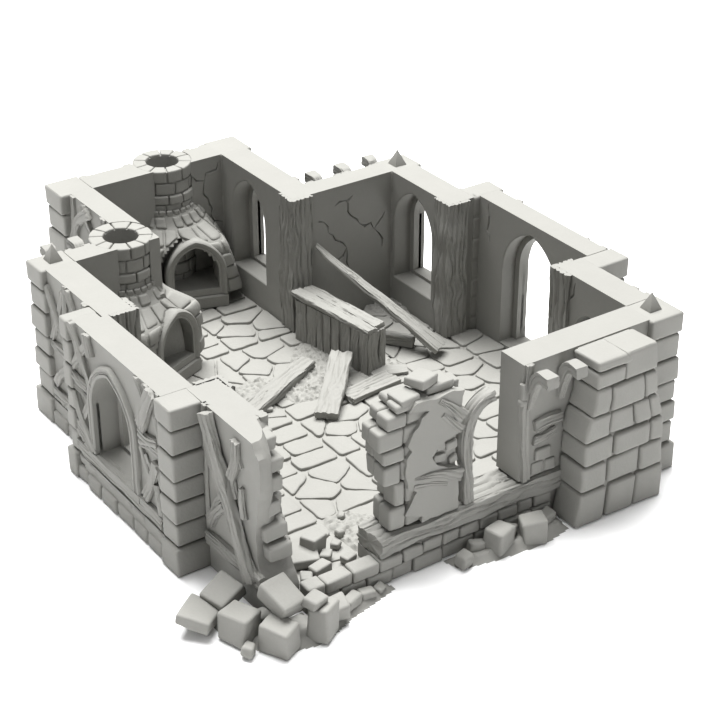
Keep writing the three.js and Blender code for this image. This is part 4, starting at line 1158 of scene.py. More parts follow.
def build_floor():
    stones = Shape()
    bed = FLOOR_TOP - 0.95
    rooms = [
        ((0, -6.2), (HALL_WIDTH, HALL_DEPTH), 11),
        ((BAY_LEFT, LEFT_BAY[0]), (0, LEFT_BAY[1]), 400),
        ((HALL_WIDTH, RIGHT_BAY[0]), (BAY_RIGHT, RIGHT_BAY[1]), 500),
        ((ROOM_LEFT, HALL_DEPTH), (ROOM_RIGHT, ROOM_REAR), 600),
    ]
    for low, high, seed in rooms:
        front = low[1] - (4 if seed == 11 else 0)  # the hall's bed reaches under the kerb
        plain_box(stones, (low[0] + 0.02, front, 0.0), (high[0] - 0.02, high[1] + 0.02, bed))
        paved_room(stones, low, high, seed)
    # Door step
    near, far, outer = RIGHT_BAY[0] + 15.4, RIGHT_BAY[1] - 15.4, BAY_RIGHT + THIN_WALL
    paving(stones, (BAY_RIGHT, near), (outer + 0.9, far), 801)
    plain_box(stones, (BAY_RIGHT - 1, near, 0), (outer + 1.2, far, bed))
    patches = ((82, 99, 17, 13), (31, 9, 8, 12), (119, 118, 9, 10), (66, 84, 13, 10),
               (50, 92, 11, 9), (90, 80, 9, 8))
    for k, (x, y, a, b) in enumerate(patches):
        gravel(stones, (x, y), (a, b), 40 + k)
    # Brick kerb along the open front
    kerb_end = 86.6
    rng = np.random.default_rng(5)
    for z0, z1, size in ((0.0, 4.9, 9.5), (5.0, PLINTH_TOP, 7.5)):
        x = 0.2
        while x < kerb_end - 0.4:
            end = min(x + size * rng.uniform(0.75, 1.25), kerb_end)
            if kerb_end - end < 3:
                end = kerb_end
            back = -0.5 if x > 23 else -WALL + 3.6
            out = -WALL - PLINTH_PROUD + rng.uniform(-0.3, 0.3)
            cut_stone(stones, (x, out, z0), (end - 0.3, back, z1 - 0.2), int(rng.integers(1e6)),
                      rough=0.25, radius=0.7)
            x = end
    plain_box(stones, (24, -WALL, 0), (HALL_WIDTH - 0.3, -0.6, PLINTH_TOP - 0.25))
    stones.piece("paved_floor", "flagstone", "floor_slab")


# ---------------------------------------------------------------- ovens

DOME_TOP = 40.0
MOUTH_FACE = 19.2  # from the middle of the dome's foot to the stones round the mouth
OVEN_ROWS = [10.1, 15.3, 20.3, 25.2, 29.9, 34.4, 38.2]


def oven_places(name, turn, shift):
    """Middle of the stack, middle of the dome's foot, the way the mouth faces, and its angle."""
    low, high = box_mm(f"{name}_chimney_stack")
    stack = (low[:2] + high[:2]) / 2
    angle = math.radians(turn)
    foot = stack + np.array([math.cos(angle), math.sin(angle)]) * shift
    facing = np.array([math.sin(angle), -math.cos(angle)])
    return stack, foot, facing, angle


def build_oven(name, turn, wall_face, shift, seed, side_limits, wall_end=None):
    stack, foot, facing, angle = oven_places(name, turn, shift)
    base = OVEN_ROWS[0]
    side = np.array([math.cos(angle), math.sin(angle)])

    def radius(z):
        h = np.clip((z - base) / (DOME_TOP - base), 0, 1)
        return 10 + 7 * np.cos(h**1.5 * math.pi / 2)

    def reach(theta, z):
        """The dome's own radius, swelled out to meet the frame of the mouth."""
        plane = MOUTH_FACE / np.cos(np.clip(np.abs(theta), 0, 0.75))
        beside = np.clip((np.abs(theta) - 0.5) / 0.75, 0, 1)
        above = np.clip((z - 27.5) / 8.5, 0, 1)
        share = (1 - beside**2 * (3 - 2 * beside)) * (1 - above**2 * (3 - 2 * above))
        return radius(z) + np.maximum(plane - radius(z), 0) * share

    def middle(z):
        h = np.clip((z - base) / (DOME_TOP - base), 0, 1)[:, None]
        return foot * (1 - h) + stack * h

    def on_dome(theta, z, out):
        """A place `out` from the dome's face; theta is measured from the middle of the mouth."""
        slope = (reach(theta, z + 0.2) - reach(theta, z - 0.2)) / 0.4
        lift = -slope / np.sqrt(1 + slope**2)
        flat = 1 / np.sqrt(1 + slope**2)
        way = facing[None, :] * np.cos(theta)[:, None] + side[None, :] * np.sin(theta)[:, None]
        plan = middle(z) + way * (reach(theta, z) + out * flat)[:, None]
        return np.column_stack([plan, z + out * lift])

    def mouth_edge(z):
        """Half-width of the mouth's frame at a height."""
        line = np.array(arch_points(0, 11.0, base - 4, 32.2))
        right = line[: len(line) // 2 + 1]
        return np.interp(z, right[:, 1], right[:, 0], right=0.0)

    stones = Shape()
    rng = np.random.default_rng(seed)
    for row, (z0, z1) in enumerate(zip(OVEN_ROWS[:-1], OVEN_ROWS[1:])):
        for way in (-1, 1):
            far = math.radians(150)
            mid = np.array([(z0 + z1) / 2])
            start = float(np.arctan(mouth_edge(mid) / MOUTH_FACE)[0])
            if z0 > 31.5:
                start = 0.0 if way > 0 else 0.04 * row
            arc = (far - start) * float(radius(mid)[0])
            count = max(2, round(arc / (5.4 - 0.35 * row)))
            shift_in = rng.uniform(-0.22, 0.22, count - 1) / count
            edges = np.linspace(0, 1, count + 1) + np.concatenate([[0], shift_in, [0]])
            for k in range(count):
                a, b = edges[k] * arc + 0.24, edges[k + 1] * arc - 0.24

                def place(p):
                    z = p[:, 2]
                    theta = start + (far - start) * p[:, 0] / arc
                    if k == 0 and z0 < 31.5:  # the first stone of a low row follows the mouth's edge
                        near = np.arctan(mouth_edge(z) / MOUTH_FACE) + 0.01
                        sweep = b / arc * (far - start)
                        theta = near + (theta - start) / sweep * (start + sweep - near)
                    return on_dome(way * theta, z, p[:, 1])

                turn_here = way * (start + (a + b) / 2 / arc * (far - start))
                outwards = facing * math.cos(turn_here) + side * math.sin(turn_here)
                here = middle(mid)[0] + outwards * radius(mid)[0]
                if here[1] > wall_face + 1.5 or not side_limits[0] - 1.5 < here[0] < side_limits[1] + 1.5:
                    continue
                out = 0.7 + rng.uniform(-0.15, 0.2)
                cut_stone(stones, (a, -1.2, z0 + 0.2), (b, out, z1 - 0.2), int(rng.integers(1e6)),
                          radius=0.6, rough=0.2, pitted=0.07, place=place)
    if wall_end is not None:
        # Flat back where the dome stands past the end of the wall
        rings = []
        for z in np.linspace(FLOOR_TOP + 0.5, 36, 14):
            spot, near = middle(np.array([z]))[0], wall_face - GAP
            wide = float(radius(np.array([max(z, base)]))[0])
            far = max(wall_end - 0.5, spot[0] + math.sqrt(max(wide**2 - (near - spot[1]) ** 2, 0)) - 0.3)
            end, inner = wall_end - 2.5, near - 2.2
            rings.append([(end, inner, z), (far, inner, z), (far, near, z), (end, near, z)])
        stones.add(np.vstack(rings), ring_quads(len(rings), 4), [(3, 2, 1, 0), (52, 53, 54, 55)])
    # Mortar behind the swelled-out stones beside and above the mouth
    thetas = np.linspace(-1.3, 1.3, 53)
    levels = np.linspace(base, 39.0, 30)
    grid_t, grid_z = np.meshgrid(thetas, levels, indexing="ij")
    outer = on_dome(grid_t.ravel(), grid_z.ravel(), np.full(grid_t.size, 0.0))
    rows, columns = grid_t.shape
    edge = np.arctan(mouth_edge(grid_z) / MOUTH_FACE)
    cells = [(i * columns + j, (i + 1) * columns + j, (i + 1) * columns + j + 1, i * columns + j + 1)
             for i in range(rows - 1) for j in range(columns - 1)
             if min(abs(grid_t[i, j]), abs(grid_t[i + 1, j])) > edge[i, j + 1] - 0.03]
    inside = outer - np.array([*facing, 0.0]) * 0.6
    total = len(outer)
    ways = {(cell[m], cell[(m + 1) % 4]): True for cell in cells for m in range(4)}
    skirt = [(b, a, a + total, b + total) for a, b in ways if (b, a) not in ways]
    backs = [tuple(v + total for v in reversed(cell)) for cell in cells]
    skin = np.array(cells + backs + skirt)
    kept = np.unique(skin)
    stones.add(np.vstack([outer, inside])[kept], np.searchsorted(kept, skin))
    # Ring of small stones where the dome meets the stack
    for k in range(26):
        theta = 2 * math.pi * k / 26
        here = stack + (facing * math.cos(theta) + side * math.sin(theta)) * 10.4
        if here[1] > wall_face + 0.5:
            continue

        def collar(p):
            t = theta + p[:, 0] / 10.4
            way = facing[None, :] * np.cos(t)[:, None] + side[None, :] * np.sin(t)[:, None]
            return np.column_stack([stack + way * (10.2 + p[:, 1])[:, None], p[:, 2]])
        cut_stone(stones, (-1.1, -1.0, 38.3), (1.1, 0.75, 40.2), seed + 900 + k, radius=0.4, rough=0.1,
                  pitted=0.04, place=collar)

    # Mouth: a pointed arch moulded in two steps
    def at_mouth(u, z, out):
        plan = foot + facing * out + side * u
        return (*plan, z)

    profile = [(0.0, 9.0), (0.0, 19.0), (0.3, 19.5), (1.2, 19.75), (1.45, 20.25), (2.5, 20.3), (3.0, 19.9),
               (3.15, 19.2), (3.2, 9.0)]
    rim = Shape()
    arch_band(rim, at_mouth, 0, 8, 12.4, 29, profile, foot=2.3)
    core = wall_core(f"{name}_oven_dome", f"{name}_oven_core")
    core.data.materials.clear()
    moulding = rim.thing(f"{name}_oven_frame")
    stones.piece(f"{name}_oven_stones", "stone", f"{name}_oven_dome", also=(core, moulding), angle=40)


def build_hearth(name):
    """The shelf in front of and under an oven, with its upper edges eased."""
    core = wall_core(f"{name}_hearth", f"{name}_hearth_core")
    top = max(v.co[2] for v in core.data.vertices)

    def on_upper_edge(edge):
        return all(v.co[2] > top - 1e-5 for v in edge.verts) and edge.calc_face_angle(0) > 1.0

    ease_edges(core, on_upper_edge, 0.5 * MM, 2)
    finish(core, "stone", f"{name}_hearth")


def build_stack(name, seed):
    """A round chimney in courses, with a ring of stones round its flue."""
    low, high = box_mm(f"{name}_chimney_stack")
    centre = (low[:2] + high[:2]) / 2
    stones = Shape()
    rng = np.random.default_rng(seed)
    flue, outer = 5.7, 9.4
    sides = 48
    angles = np.linspace(0, 2 * math.pi, sides, endpoint=False)
    ring = np.stack([np.cos(angles), np.sin(angles)], axis=1)
    tube = [np.column_stack([centre + ring * r, np.full(sides, z)])
            for r, z in ((flue, low[2]), (flue, 54.2), (outer, 54.2), (outer, low[2]))]
    stones.add(np.vstack(tube), ring_quads(len(tube), sides, looped=True))
    rows = [low[2], 14.5, 19, 24, 28.5, 33.5, 38, 42.2, 45.8, 50.4, SEAT]
    for row, (z0, z1) in enumerate(zip(rows[:-1], rows[1:])):
        last = row == len(rows) - 2
        count = 10 if row % 2 else 9
        offset = rng.uniform(0, 1)
        cuts = (np.arange(count + 1) + offset) / count * 2 * math.pi
        cuts[1:-1] += rng.uniform(-0.07, 0.07, count - 1)
        for k in range(count):
            a, b = cuts[k] * 10, cuts[k + 1] * 10
            out = 10.33 if last else (10.6 if row % 2 else 10.0) + rng.uniform(-0.15, 0.15)
            inner = flue + 0.02 if last else 9.0

            def place(p):
                t = p[:, 0] / 10
                way = np.stack([np.cos(t), np.sin(t)], axis=1)
                return np.column_stack([centre + way * p[:, 1:2], p[:, 2]])
            cut_stone(stones, (a + 0.22, inner, z0 + 0.2), (b - 0.22, out, z1 - (0 if last else 0.2)),
                      int(rng.integers(1e6)), radius=0.5, rough=0.12, pitted=0.05, place=place)
    stones.keep_between(highest=SEAT)
    stones.piece(f"{name}_stack_stones", "stone", f"{name}_chimney_stack")


# ---------------------------------------------------------------- posts, struts and beams

POSTS = {"rear_room": (1, 1), "door_rear": (1, 1), "door_front": (1, -1),
         "left_bay_rear": (-1, 1), "left_bay_front": (-1, -1)}


def build_posts():
    """L-shaped corner posts, deeply grained on the room side. (sx, sy) points to the wall."""
    for i, (name, (sx, sy)) in enumerate(POSTS.items()):
        low, high = box_mm(f"post_{name}")
        corner = np.array([low[0] if sx > 0 else high[0], low[1] if sy > 0 else high[1]])
        leg, thick = 9.0, 2.0
        plan = [(thick, thick), (leg, thick), (leg, 0), (0, 0), (0, leg), (thick, leg)]
        plan = [(sx * x, sy * y) for x, y in plan]
        if sx * sy > 0:
            plan.reverse()
        path = [(corner[0], corner[1], SEAT), (corner[0], corner[1], low[2] - 0.2)]
        shape = Shape()
        timber(shape, path, plan, (0, 1, 0), 50 + i, depth=1.05, spacing=2.05, wave=0.5, flat_caps=True,
               knots=[(16 + 3 * i, 9 + 18 * (i % 2), 1.5), (35 - 2 * i, 12, 1.2)])
        shape.piece(f"grained_post_{name}", "timber", f"post_{name}")


STRUTS = ["right_1", "right_2", "right_3", "left_1", "left_2", "front_1", "front_2"]


def build_struts():
    for i, name in enumerate(STRUTS):
        low, high = box_mm(f"strut_{name}")
        x = (low[0] + high[0]) / 2
        way = -1 if name.startswith("front") else 1
        root = low[1] if way > 0 else high[1]
        reach = high[1] - low[1]
        bend = [(0.3, 40.5), (1.0, 46), (2.7, 50.8), (0.58 * reach, 53.0), (reach, 53.4)]
        path = curve_through([(x + 0.3 * math.sin(i + k), root + way * out, z)
                              for k, (out, z) in enumerate(bend)])
        shape = Shape()
        timber(shape, path, oblong(4.0, 4.4), (0, way, -1), 150 + i, depth=0.42, spacing=1.4, wave=0.25,
               taper=(0.55, 1.08), flat_top=54.62, step=0.5)
        shape.piece(f"curved_strut_{name}", "timber", f"strut_{name}")


def build_beams():
    low, high = box_mm("front_sill_beam")
    shape = Shape()
    middle_y, middle_z = (low[1] + high[1]) / 2 - 0.1, (low[2] + high[2]) / 2
    path = curve_through([(low[0] - 0.4, middle_y, middle_z + 0.1), (40, middle_y + 0.3, middle_z - 0.1),
                          (58, middle_y - 0.3, middle_z + 0.3), (74, middle_y + 0.3, middle_z),
                          (88, middle_y, middle_z), (high[0], middle_y, middle_z)])
    timber(shape, path, oblong(6.1, 11.5), (0, -1, 0), 210, depth=0.85, spacing=2.3, wave=0.45, ends=(1.3, 0),
           knots=[(49.6, 27.6, 2.2), (46.5, 9.0, 1.6), (12.0, 9.2, 1.3)])
    shape.piece("grained_front_sill", "timber", "front_sill_beam")
    low, high = box_mm("left_sill_beam")
    shape = Shape()
    x = low[0] + 1.6
    path = curve_through([(x, high[1], 12.2), (x - 0.2, 24 + low[1], 12.5), (x, low[1], 12.2)])
    timber(shape, path, oblong(5.2, 2.9), (-1, 0, 0), 222, depth=0.6, spacing=1.7, wave=0.4,
           knots=[(12, 3.6, 1.2)])
    shape.piece("grained_left_sill", "timber", "left_sill_beam")


# ---------------------------------------------------------------- broken front

def rough_slab(shape, outline, at, n0, n1, seed, shift=None, rough=0.45, layers=7, broken=None):
    """A plate with a broken edge. `outline` is (along, height); `at` turns (along, height, across)
    into a place; `broken` says how rough the edge is at a point of the outline."""
    outline = np.array(outline, float)
    points = []
    for p, q in zip(outline, np.roll(outline, -1, axis=0)):
        count = max(1, int(np.linalg.norm(q - p) / 0.9))
        points.extend(p + (q - p) * k / count for k in range(count))
    points = np.array(points)
    count = len(points)
    tangent = np.roll(points, -1, axis=0) - np.roll(points, 1, axis=0)
    normal = np.stack([tangent[:, 1], -tangent[:, 0]], axis=1)
    normal /= np.linalg.norm(normal, axis=1)[:, None] + 1e-9
    weight = np.ones(count) if broken is None else np.array([broken(*p) for p in points])
    rings = []
    for n in np.linspace(n0, n1, layers):
        spot = np.column_stack([points, np.full(count, n)])
        swell = rough * (noise(spot, 1.6, seed) + 0.6 * noise(spot, 3.7, seed + 1)) * weight
        ring = points + normal * swell[:, None]
        if shift is not None:
            ring = ring + np.array([shift(*p, n) for p in points])
        rings.append(np.array([at(u, z, n) for u, z in ring]))
    last = (layers - 1) * count
    first = list(range(count))
    shape.add(np.vstack(rings), ring_quads(layers, count), [first[::-1]], [[last + i for i in first]])


def build_broken_wall():
    end = LEFT_BAY[0] - 0.3
    outline = [(end + 0.3, 0), (end + 0.3, SEAT), (9.5, SEAT), (6.5, 51), (5.0, 46), (3.4, 39), (2.2, 32),
               (0.6, 25), (-1.5, 20), (-3.4, 15), (-6.6, 9), (-8.2, 0)]

    def shift(y, z, n):
        """The outer leaf of the wall reaches further forward than the inner one near the top."""
        if y > 12 or z < 18:
            return (0.0, 0.0)
        across = -n
        ahead = np.interp(across, [0, 2.9, 4, 7, 10.3], [0, -1.2, -6.5, -10.5, -10.8])
        return (ahead * min(1, (z - 18) / 30) * (1 if y < 10 else (12 - y) / 2), 0.0)

    def at(y, z, n):
        return (n, y, z)

    shape = Shape()
    rough_slab(shape, outline, at, -WALL, 0.0, 31, shift=shift, layers=9,
               broken=lambda y, z: 1.0 if (y < 12 and z > 0.5) else 0.0)
    shape.keep_between(0, SEAT)
    bricks = [(50.2, 4.5, 0.6), (44.4, 2.2, 1.4), (38.9, 1.2, 0.2), (32.2, 0.6, -0.6), (25.6, -1.2, 0.2),
              (19.8, -3.2, 0.4)]
    for k, (z, y, lean) in enumerate(bricks):
        cut_stone(shape, (-8.6 + 0.4 * (k % 2), y - 2.6, z - 2.2), (-1.2 + lean, y + 8, z + 2.3), 840 + k,
                  radius=0.7, rough=0.35)
        cut_stone(shape, (-4.2, y + 0.4, z - 2.2), (0.25, y + 6, z + 2.2), 850 + k, radius=0.7, rough=0.3)
    shape.piece("broken_plaster_wall", "plaster", "wall_front_left_broken", angle=32)

    woods = Shape()
    face = WallFace((-WALL, 0), (0, 1), (-1, 0))
    timbers = [
        (-6.0, 11.6, 24.2, 10.8, 4.6, 1.7, 0.7, 8),
        (22.0, 42.0, 10.5, 22.0, 2.6, 1.0, 0.6),
        (21.8, 18.0, 14.0, 31.0, 2.6, 1.0, -0.6),
        (23.0, 15.0, 23.2, 55.2, 2.4, 0.8, 0.3),
        (22.0, 16.5, 13.2, 26.5, 3.4, 1.4, -0.9),
        (5.6, 52.5, 8.8, 38.4, 3.6, 1.8, -1.0),
        (8.4, 40.0, 6.2, 33.0, 2.6, 1.2, 0.4),
        (3.8, 38.6, 2.4, 28.8, 2.2, 1.4, 0.3),
        (6.8, 51.0, 3.6, 44.0, 2.4, 1.0, 0.3),
    ]
    frame_timbers(woods, face, timbers, 870, depth=0.65, spacing=1.5, wave=0.4, ends=(0.7, 0.7))
    inner = WallFace((0, 0), (0, 1), (1, 0))
    timbers = [(10.5, 55.2, 1.0, 12.0, 3.4, 0.9, 0.8, 22), (-3.5, 9.5, 14, 8.0, 3.0, 0.8, 0.4)]
    frame_timbers(woods, inner, timbers, 890, depth=0.5, spacing=1.5, wave=0.35, ends=(0.6, 0.6))
    woods.piece("broken_wall_timbers", "timber")

    low, high = box_mm("broken_wall_brace")
    shape = Shape()
    x = (low[0] + high[0]) / 2 - 0.1
    path = curve_through([(x, 19.8, SEAT - 0.6), (x - 0.2, 14.5, 42), (x, 9.0, 31), (x - 0.2, 3.6, 20),
                          (x, -1.6, 10.2)])
    timber(shape, path, oblong(5.0, 2.9), (-1, 0, 0), 231, depth=0.7, spacing=1.7, wave=0.5, ends=(0, 1.2),
           knots=[(9, 9.2, 1.3), (20, 8.4, 1.5), (33, 9.6, 1.2)], flat_top=SEAT)
    shape.piece("knotty_brace", "timber", "broken_wall_brace")


def build_pier():
    shape = Shape()
    # Plaster sheet, broken away on its left and round a hole beside the jamb
    sheet = [(38.8, BEAM_TOP + 0.2), (51.6, BEAM_TOP + 0.2), (51.7, 29.6), (47.2, 31.2), (43.4, 33.2),
             (42.2, 36.4), (44.2, 39.2), (47.6, 40.6), (51.2, 41.4), (52.0, 50), (52.6, 54.6), (49, 55.7),
             (43, 55.2), (36.4, 55.9), (33.9, 53.5), (37.4, 52.9), (40.5, 52.0), (38.2, 50.6),
             (37.3, 48.4), (35.2, 46.6), (33.7, 43.1),
             (35.0, 40.9), (33.4, 38.8), (33.0, 34), (33.9, 29), (36.9, 26.7), (35.6, 24.6), (34.5, 22.7),
             (32.8, 20.1), (35.8, 19.4), (38.8, 17.6)]

    def at(x, z, n):
        return (x, n, z)

    rough_slab(shape, sheet, at, -WALL - 0.65, -WALL + 1.4, 47, rough=0.3, layers=4)
    plain_box(shape, (34.5, -WALL + 1.2, BEAM_TOP + 0.1), (51.5, -0.5, 54.6))
    # Brick courses that tooth out on the left
    rows = [(15.7, 23.3, 28.2), (23.6, 31.2, 29.8), (31.4, 38.1, 26.2), (38.3, 42.9, 25.9),
            (43.1, 49.0, 24.4), (49.2, 53.4, 27.0), (53.6, 56.2, 30.2)]
    worn = {"radius": 0.85, "rough": 0.3}
    for k, (z0, z1, x) in enumerate(rows):
        split = x + [5.4, 3.6, 5.6, 7.0, 8.2, 6.6, 6.0][k]
        cut_stone(shape, (x, -WALL + 0.1, z0 + 0.15), (split, -WALL + 5.6, z1 - 0.15), 500 + k, **worn)
        cut_stone(shape, (x + 0.9, -4.4, z0 + 0.15), (split + 5.5, 0.1, z1 - 0.15), 520 + k, **worn)
        cut_stone(shape, (split + 0.4, -WALL + 0.3, z0 + 0.2), (41.5, -3.4, z1 - 0.2), 540 + k, **worn)
    plain_box(shape, (32.0, -WALL + 2.0, BEAM_TOP + 0.1), (36.0, -1.2, 53.4))
    # Stones that show in the hole
    seen = [(45.4, 34.4, 4.6), (49.6, 37.2, 4.0), (45.6, 38.4, 3.2), (50.2, 32.6, 3.0)]
    for k, (x, z, wide) in enumerate(seen):
        tilted_stone(shape, (x, -WALL + 1.1, z), (wide, 2.0, 2.6), 560 + k, tip=8 - 9 * k, radius=0.5,
                     rough=0.3)
    # Loose stones on top
    tilted_stone(shape, (35.0, -6.6, 56.2), (6.6, 6.8, 2.6), 571, turn=4, radius=0.6)
    tilted_stone(shape, (46.0, -5.4, 56.6), (9.4, 7.2, 2.6), 572, turn=-3, radius=0.6)
    tilted_stone(shape, (52.0, -3.2, 53.2), (5.6, 5.6, 4.2), 573, turn=-12, radius=0.6)
    # Splinters of lath and plaster that stand off the sheet
    face = WallFace((0, -WALL), (1, 0), (0, -1))
    wood = {"depth": 0.55, "spacing": 1.5, "wave": 0.35}
    splinters = [
        # places, width, how proud, thickness, taper
        ([(44.2, 54.0), (48.4, 50.8), (52.2, 46.6)], 4.0, 1.8, 2.6, (0.45, 1.0)),
        ([(45.2, 49.0), (48.6, 45.6), (51.9, 42.4)], 2.8, 1.5, 2.4, (0.4, 1.0)),
        ([(36.0, 31.2), (43.6, 30.4), (51.9, 27.4)], 3.8, 1.9, 2.8, (0.3, 1.1)),
        ([(35.8, 28.8), (42.0, 27.8), (47.6, 25.7)], 2.8, 1.5, 2.4, (0.5, 0.5)),
    ]
    for k, (line, width, proud, thick, taper) in enumerate(splinters):
        face.board(shape, line, width, 581 + k, proud=proud, thick=thick, taper=taper, **wood)
    shape.keep_between(BEAM_TOP + 0.05)
    shape.piece("broken_pier", "plaster", "front_pier", angle=32)
    # Loose block that lies on top
    low, high = box_mm("loose_block_on_pier")
    block = Shape()
    centre = (low + high) / 2
    tilted_stone(block, centre + [0, 0, 0.2], (7.6, 6.6, 3.0), 590, turn=18, tip=4, radius=0.6, rough=0.3)
    block.piece("loose_block", "stone", "loose_block_on_pier")


def build_jamb():
    shape = Shape()
    y = -WALL + 1.2
    path = curve_through([(55.6, y, BEAM_TOP - 0.2), (55.4, y, 24), (54.4, y, 33), (54.6, y + 0.2, 40),
                          (56.6, y, 45.4), (60.0, y - 0.2, 48.4), (64.0, y, 49.3)])
    timber(shape, path, oblong(3.5, 4.6), (0, -1, 0), 241, depth=0.65, spacing=1.6, wave=0.35, ends=(0, 1.0),
           taper=(0.85, 1.05))
    shape.piece("bent_jamb_timber", "timber", "broken_jamb_timber")


def build_front_timbers():
    """Timbers and brick ends on the front wall, left of the buttress."""
    face = FACES["out_front"]
    shape = Shape()
    timbers = [
        (2.2, BEAM_TOP - 0.2, 1.4, 55.3, 3.0, 1.3, 1.0),
        (4.4, 33.0, 14.8, 33.6, 4.0, 1.7, 0.5),
        (4.4, 28.6, 13.2, 29.4, 3.4, 1.4, -0.5),
    ]
    frame_timbers(shape, face, timbers, 260, depth=0.6, spacing=1.5, wave=0.35, ends=(0.6, 0.6))
    # Round stub with a bead on its end
    turns = np.linspace(-math.pi / 2, 1.5 * math.pi, 14)[:-1]
    ring = [(1.05 * math.cos(t), 1.05 * math.sin(t)) for t in turns]
    timber(shape, [tuple(face.at(-0.2, 49.2, 0.3)), tuple(face.at(-0.3, 43.8, 0.5))], ring, face.out, 270,
           depth=0.15, wave=0.05, step=0.4)
    tilted_stone(shape, face.at(-0.3, 43.3, 0.5), (2.7, 2.7, 2.2), 271, radius=1.2, rough=0.1)
    shape.piece("front_wall_timbers", "timber")
    stones = Shape()
    ends = [(4.6, 9.2, 16.0, 20.4), (9.6, 13.6, 16.2, 20.0), (5.6, 11.4, 20.8, 24.8)]
    for k, (u0, u1, z0, z1) in enumerate(ends):
        face.stone(stones, u0, u1, z0, z1, 280 + k, n0=-0.8, n1=0.6 + 0.2 * k)
    stones.piece("front_wall_brick_ends", "stone")


# ---------------------------------------------------------------- furniture and fallen timber

def build_counter():
    low, high = box_mm("counter_body")
    centre = (low + high) / 2
    angle = math.radians(9.5)
    along = np.array([-math.sin(angle), math.cos(angle), 0])
    across = np.array([math.cos(angle), math.sin(angle), 0])
    length, width, height = 35.6, 8.0, 15.2
    base = low[2]
    body = Shape()
    corners = [-along * length / 2 - across * width / 2, -along * length / 2 + across * width / 2,
               along * length / 2 + across * width / 2, along * length / 2 - across * width / 2]
    inner = [centre * [1, 1, 0] + c * 0.93 for c in corners]
    points = [[*p[:2], z] for z in (base - 0.2, base + height - 0.2) for p in inner]
    body.add(points, [(3, 2, 1, 0), (4, 5, 6, 7), (0, 1, 5, 4), (1, 2, 6, 5), (2, 3, 7, 6), (3, 0, 4, 7)])
    rng = np.random.default_rng(61)
    sides = [(-across, along, width, length), (across, along, width, length), (-along, across, length, width),
             (along, across, length, width)]
    for k, (out, run, deep, wide) in enumerate(sides):
        position = -wide / 2
        while position < wide / 2 - 0.6:
            size = min(rng.uniform(3.3, 5.2), wide / 2 - position)
            if wide / 2 - position - size < 2.2:
                size = wide / 2 - position
            spot = centre * [1, 1, 0] + out * (deep / 2 - 0.35) + run * (position + size / 2)
            lean = rng.uniform(-0.25, 0.25)
            path = [spot + [0, 0, base - 0.15], spot + run * lean + [0, 0, base + height * 0.5],
                    spot + [0, 0, base + height + 0.1]]
            knots = [(rng.uniform(3, 12), 2.2 + size * 1.0, 0.9)] if rng.random() < 0.55 else []
            timber(body, curve_through(path, 4), oblong(size - 0.2, 1.7), out, int(rng.integers(1e5)),
                   depth=0.62, spacing=1.35, wave=0.3, knots=knots, step=0.5)
            position += size
    body.piece("plank_counter", "timber", "counter_body")

    low, high = box_mm("counter_top")
    top = Shape()
    middle = (low + high) / 2
    for k, (shift, size, near, far) in enumerate([(-2.6, 4.4, -18.6, 19.2), (1.9, 4.9, -17.6, 18.4)]):
        start = middle + across * shift + along * near + [0, 0, -0.75]
        end = middle + across * shift + along * far + [0, 0, 0.75 - 0.5 * k]
        path = curve_through([start, (start + end) / 2 + across * 0.2 * (1 if k else -1), end])
        timber(top, path, oblong(size, 2.1), (0, 0, 1), 620 + k, depth=0.6, spacing=1.5, wave=0.35,
               ends=(1.4, 0.8), knots=[(12 + 9 * k, 3.6 + size * 0.95, 1.2), (28 - 5 * k, 3.2 + size, 1.0)])
    top.piece("plank_counter_top", "timber", "counter_top")


def plank_piece(name, node, start, end, width, thick, seed, knots, ends=(1.4, 1.4), out=(0, 0, 1), **kinds):
    shape = Shape()
    start, end = np.array(start, float), np.array(end, float)
    middle = (start + end) / 2 + [0, 0, 0.1]
    timber(shape, curve_through([start, middle, end]), oblong(width, thick), out, seed, knots=knots,
           depth=0.6, spacing=1.75, wave=0.35, ends=ends, **kinds)
    shape.keep_between(FLOOR_TOP + 0.02)
    shape.piece(name, "timber", node)


def build_planks():
    floor = FLOOR_TOP + GAP
    rear = HALL_DEPTH
    plank_piece("fallen_leaning_plank", "leaning_plank", (ROOM_RIGHT + 7.8, rear - 1.2, 36.4),
                (ROOM_RIGHT + 31.6, rear - 43.2, floor + 1.9), 6.2, 2.4, 641,
                [(17, 8.0, 1.4), (35, 6.4, 1.2)], taper=(0.45, 1.1))
    plank_piece("fallen_square_beam", "fallen_beam", (ROOM_RIGHT + 15.0, rear - 16.8, floor + 1.8),
                (ROOM_RIGHT + 27.4, rear - 33.2, floor + 1.8), 4.0, 3.8, 642,
                [(9, 5.8, 1.0)], ends=(0.6, 0.6))
    plank_piece("fallen_floor_plank_1", "floor_plank_1",
                (37.2, 79.8, floor + 1.7), (70.8, 96.2, floor + 1.7), 6.4, 3.4, 643,
                [(12, 8.4, 1.2)], ends=(0.9, 0.7))
    plank_piece("fallen_floor_plank_2", "floor_plank_2",
                (56.6, 64.3, floor + 1.2), (79.4, 88.9, floor + 6.2), 7.6, 2.5, 644,
                [(11, 8.0, 2.0)], ends=(0.5, 2.8))
    plank_piece("fallen_floor_plank_3", "floor_plank_3",
                (68.0, 70.5, floor + 1.0), (89.5, 72.6, floor + 1.0), 8.0, 2.0, 645,
                [(9, 7.0, 1.3)], ends=(1.4, 1.2))
    shape = Shape()
    scraps = [((84.0, 80.0, 6.0), (96.5, 75.0, 6.0), 6.0, 1.4),
              ((33.5, 84.5, 5.7), (46.0, 79.0, 5.7), 2.2, 1.2)]
    for k, (start, end, width, thick) in enumerate(scraps):
        timber(shape, [start, end], oblong(width, thick), (0, 0, 1), 660 + k, depth=0.35, ends=(1.2, 1.2))
    shape.piece("plank_scraps", "timber")


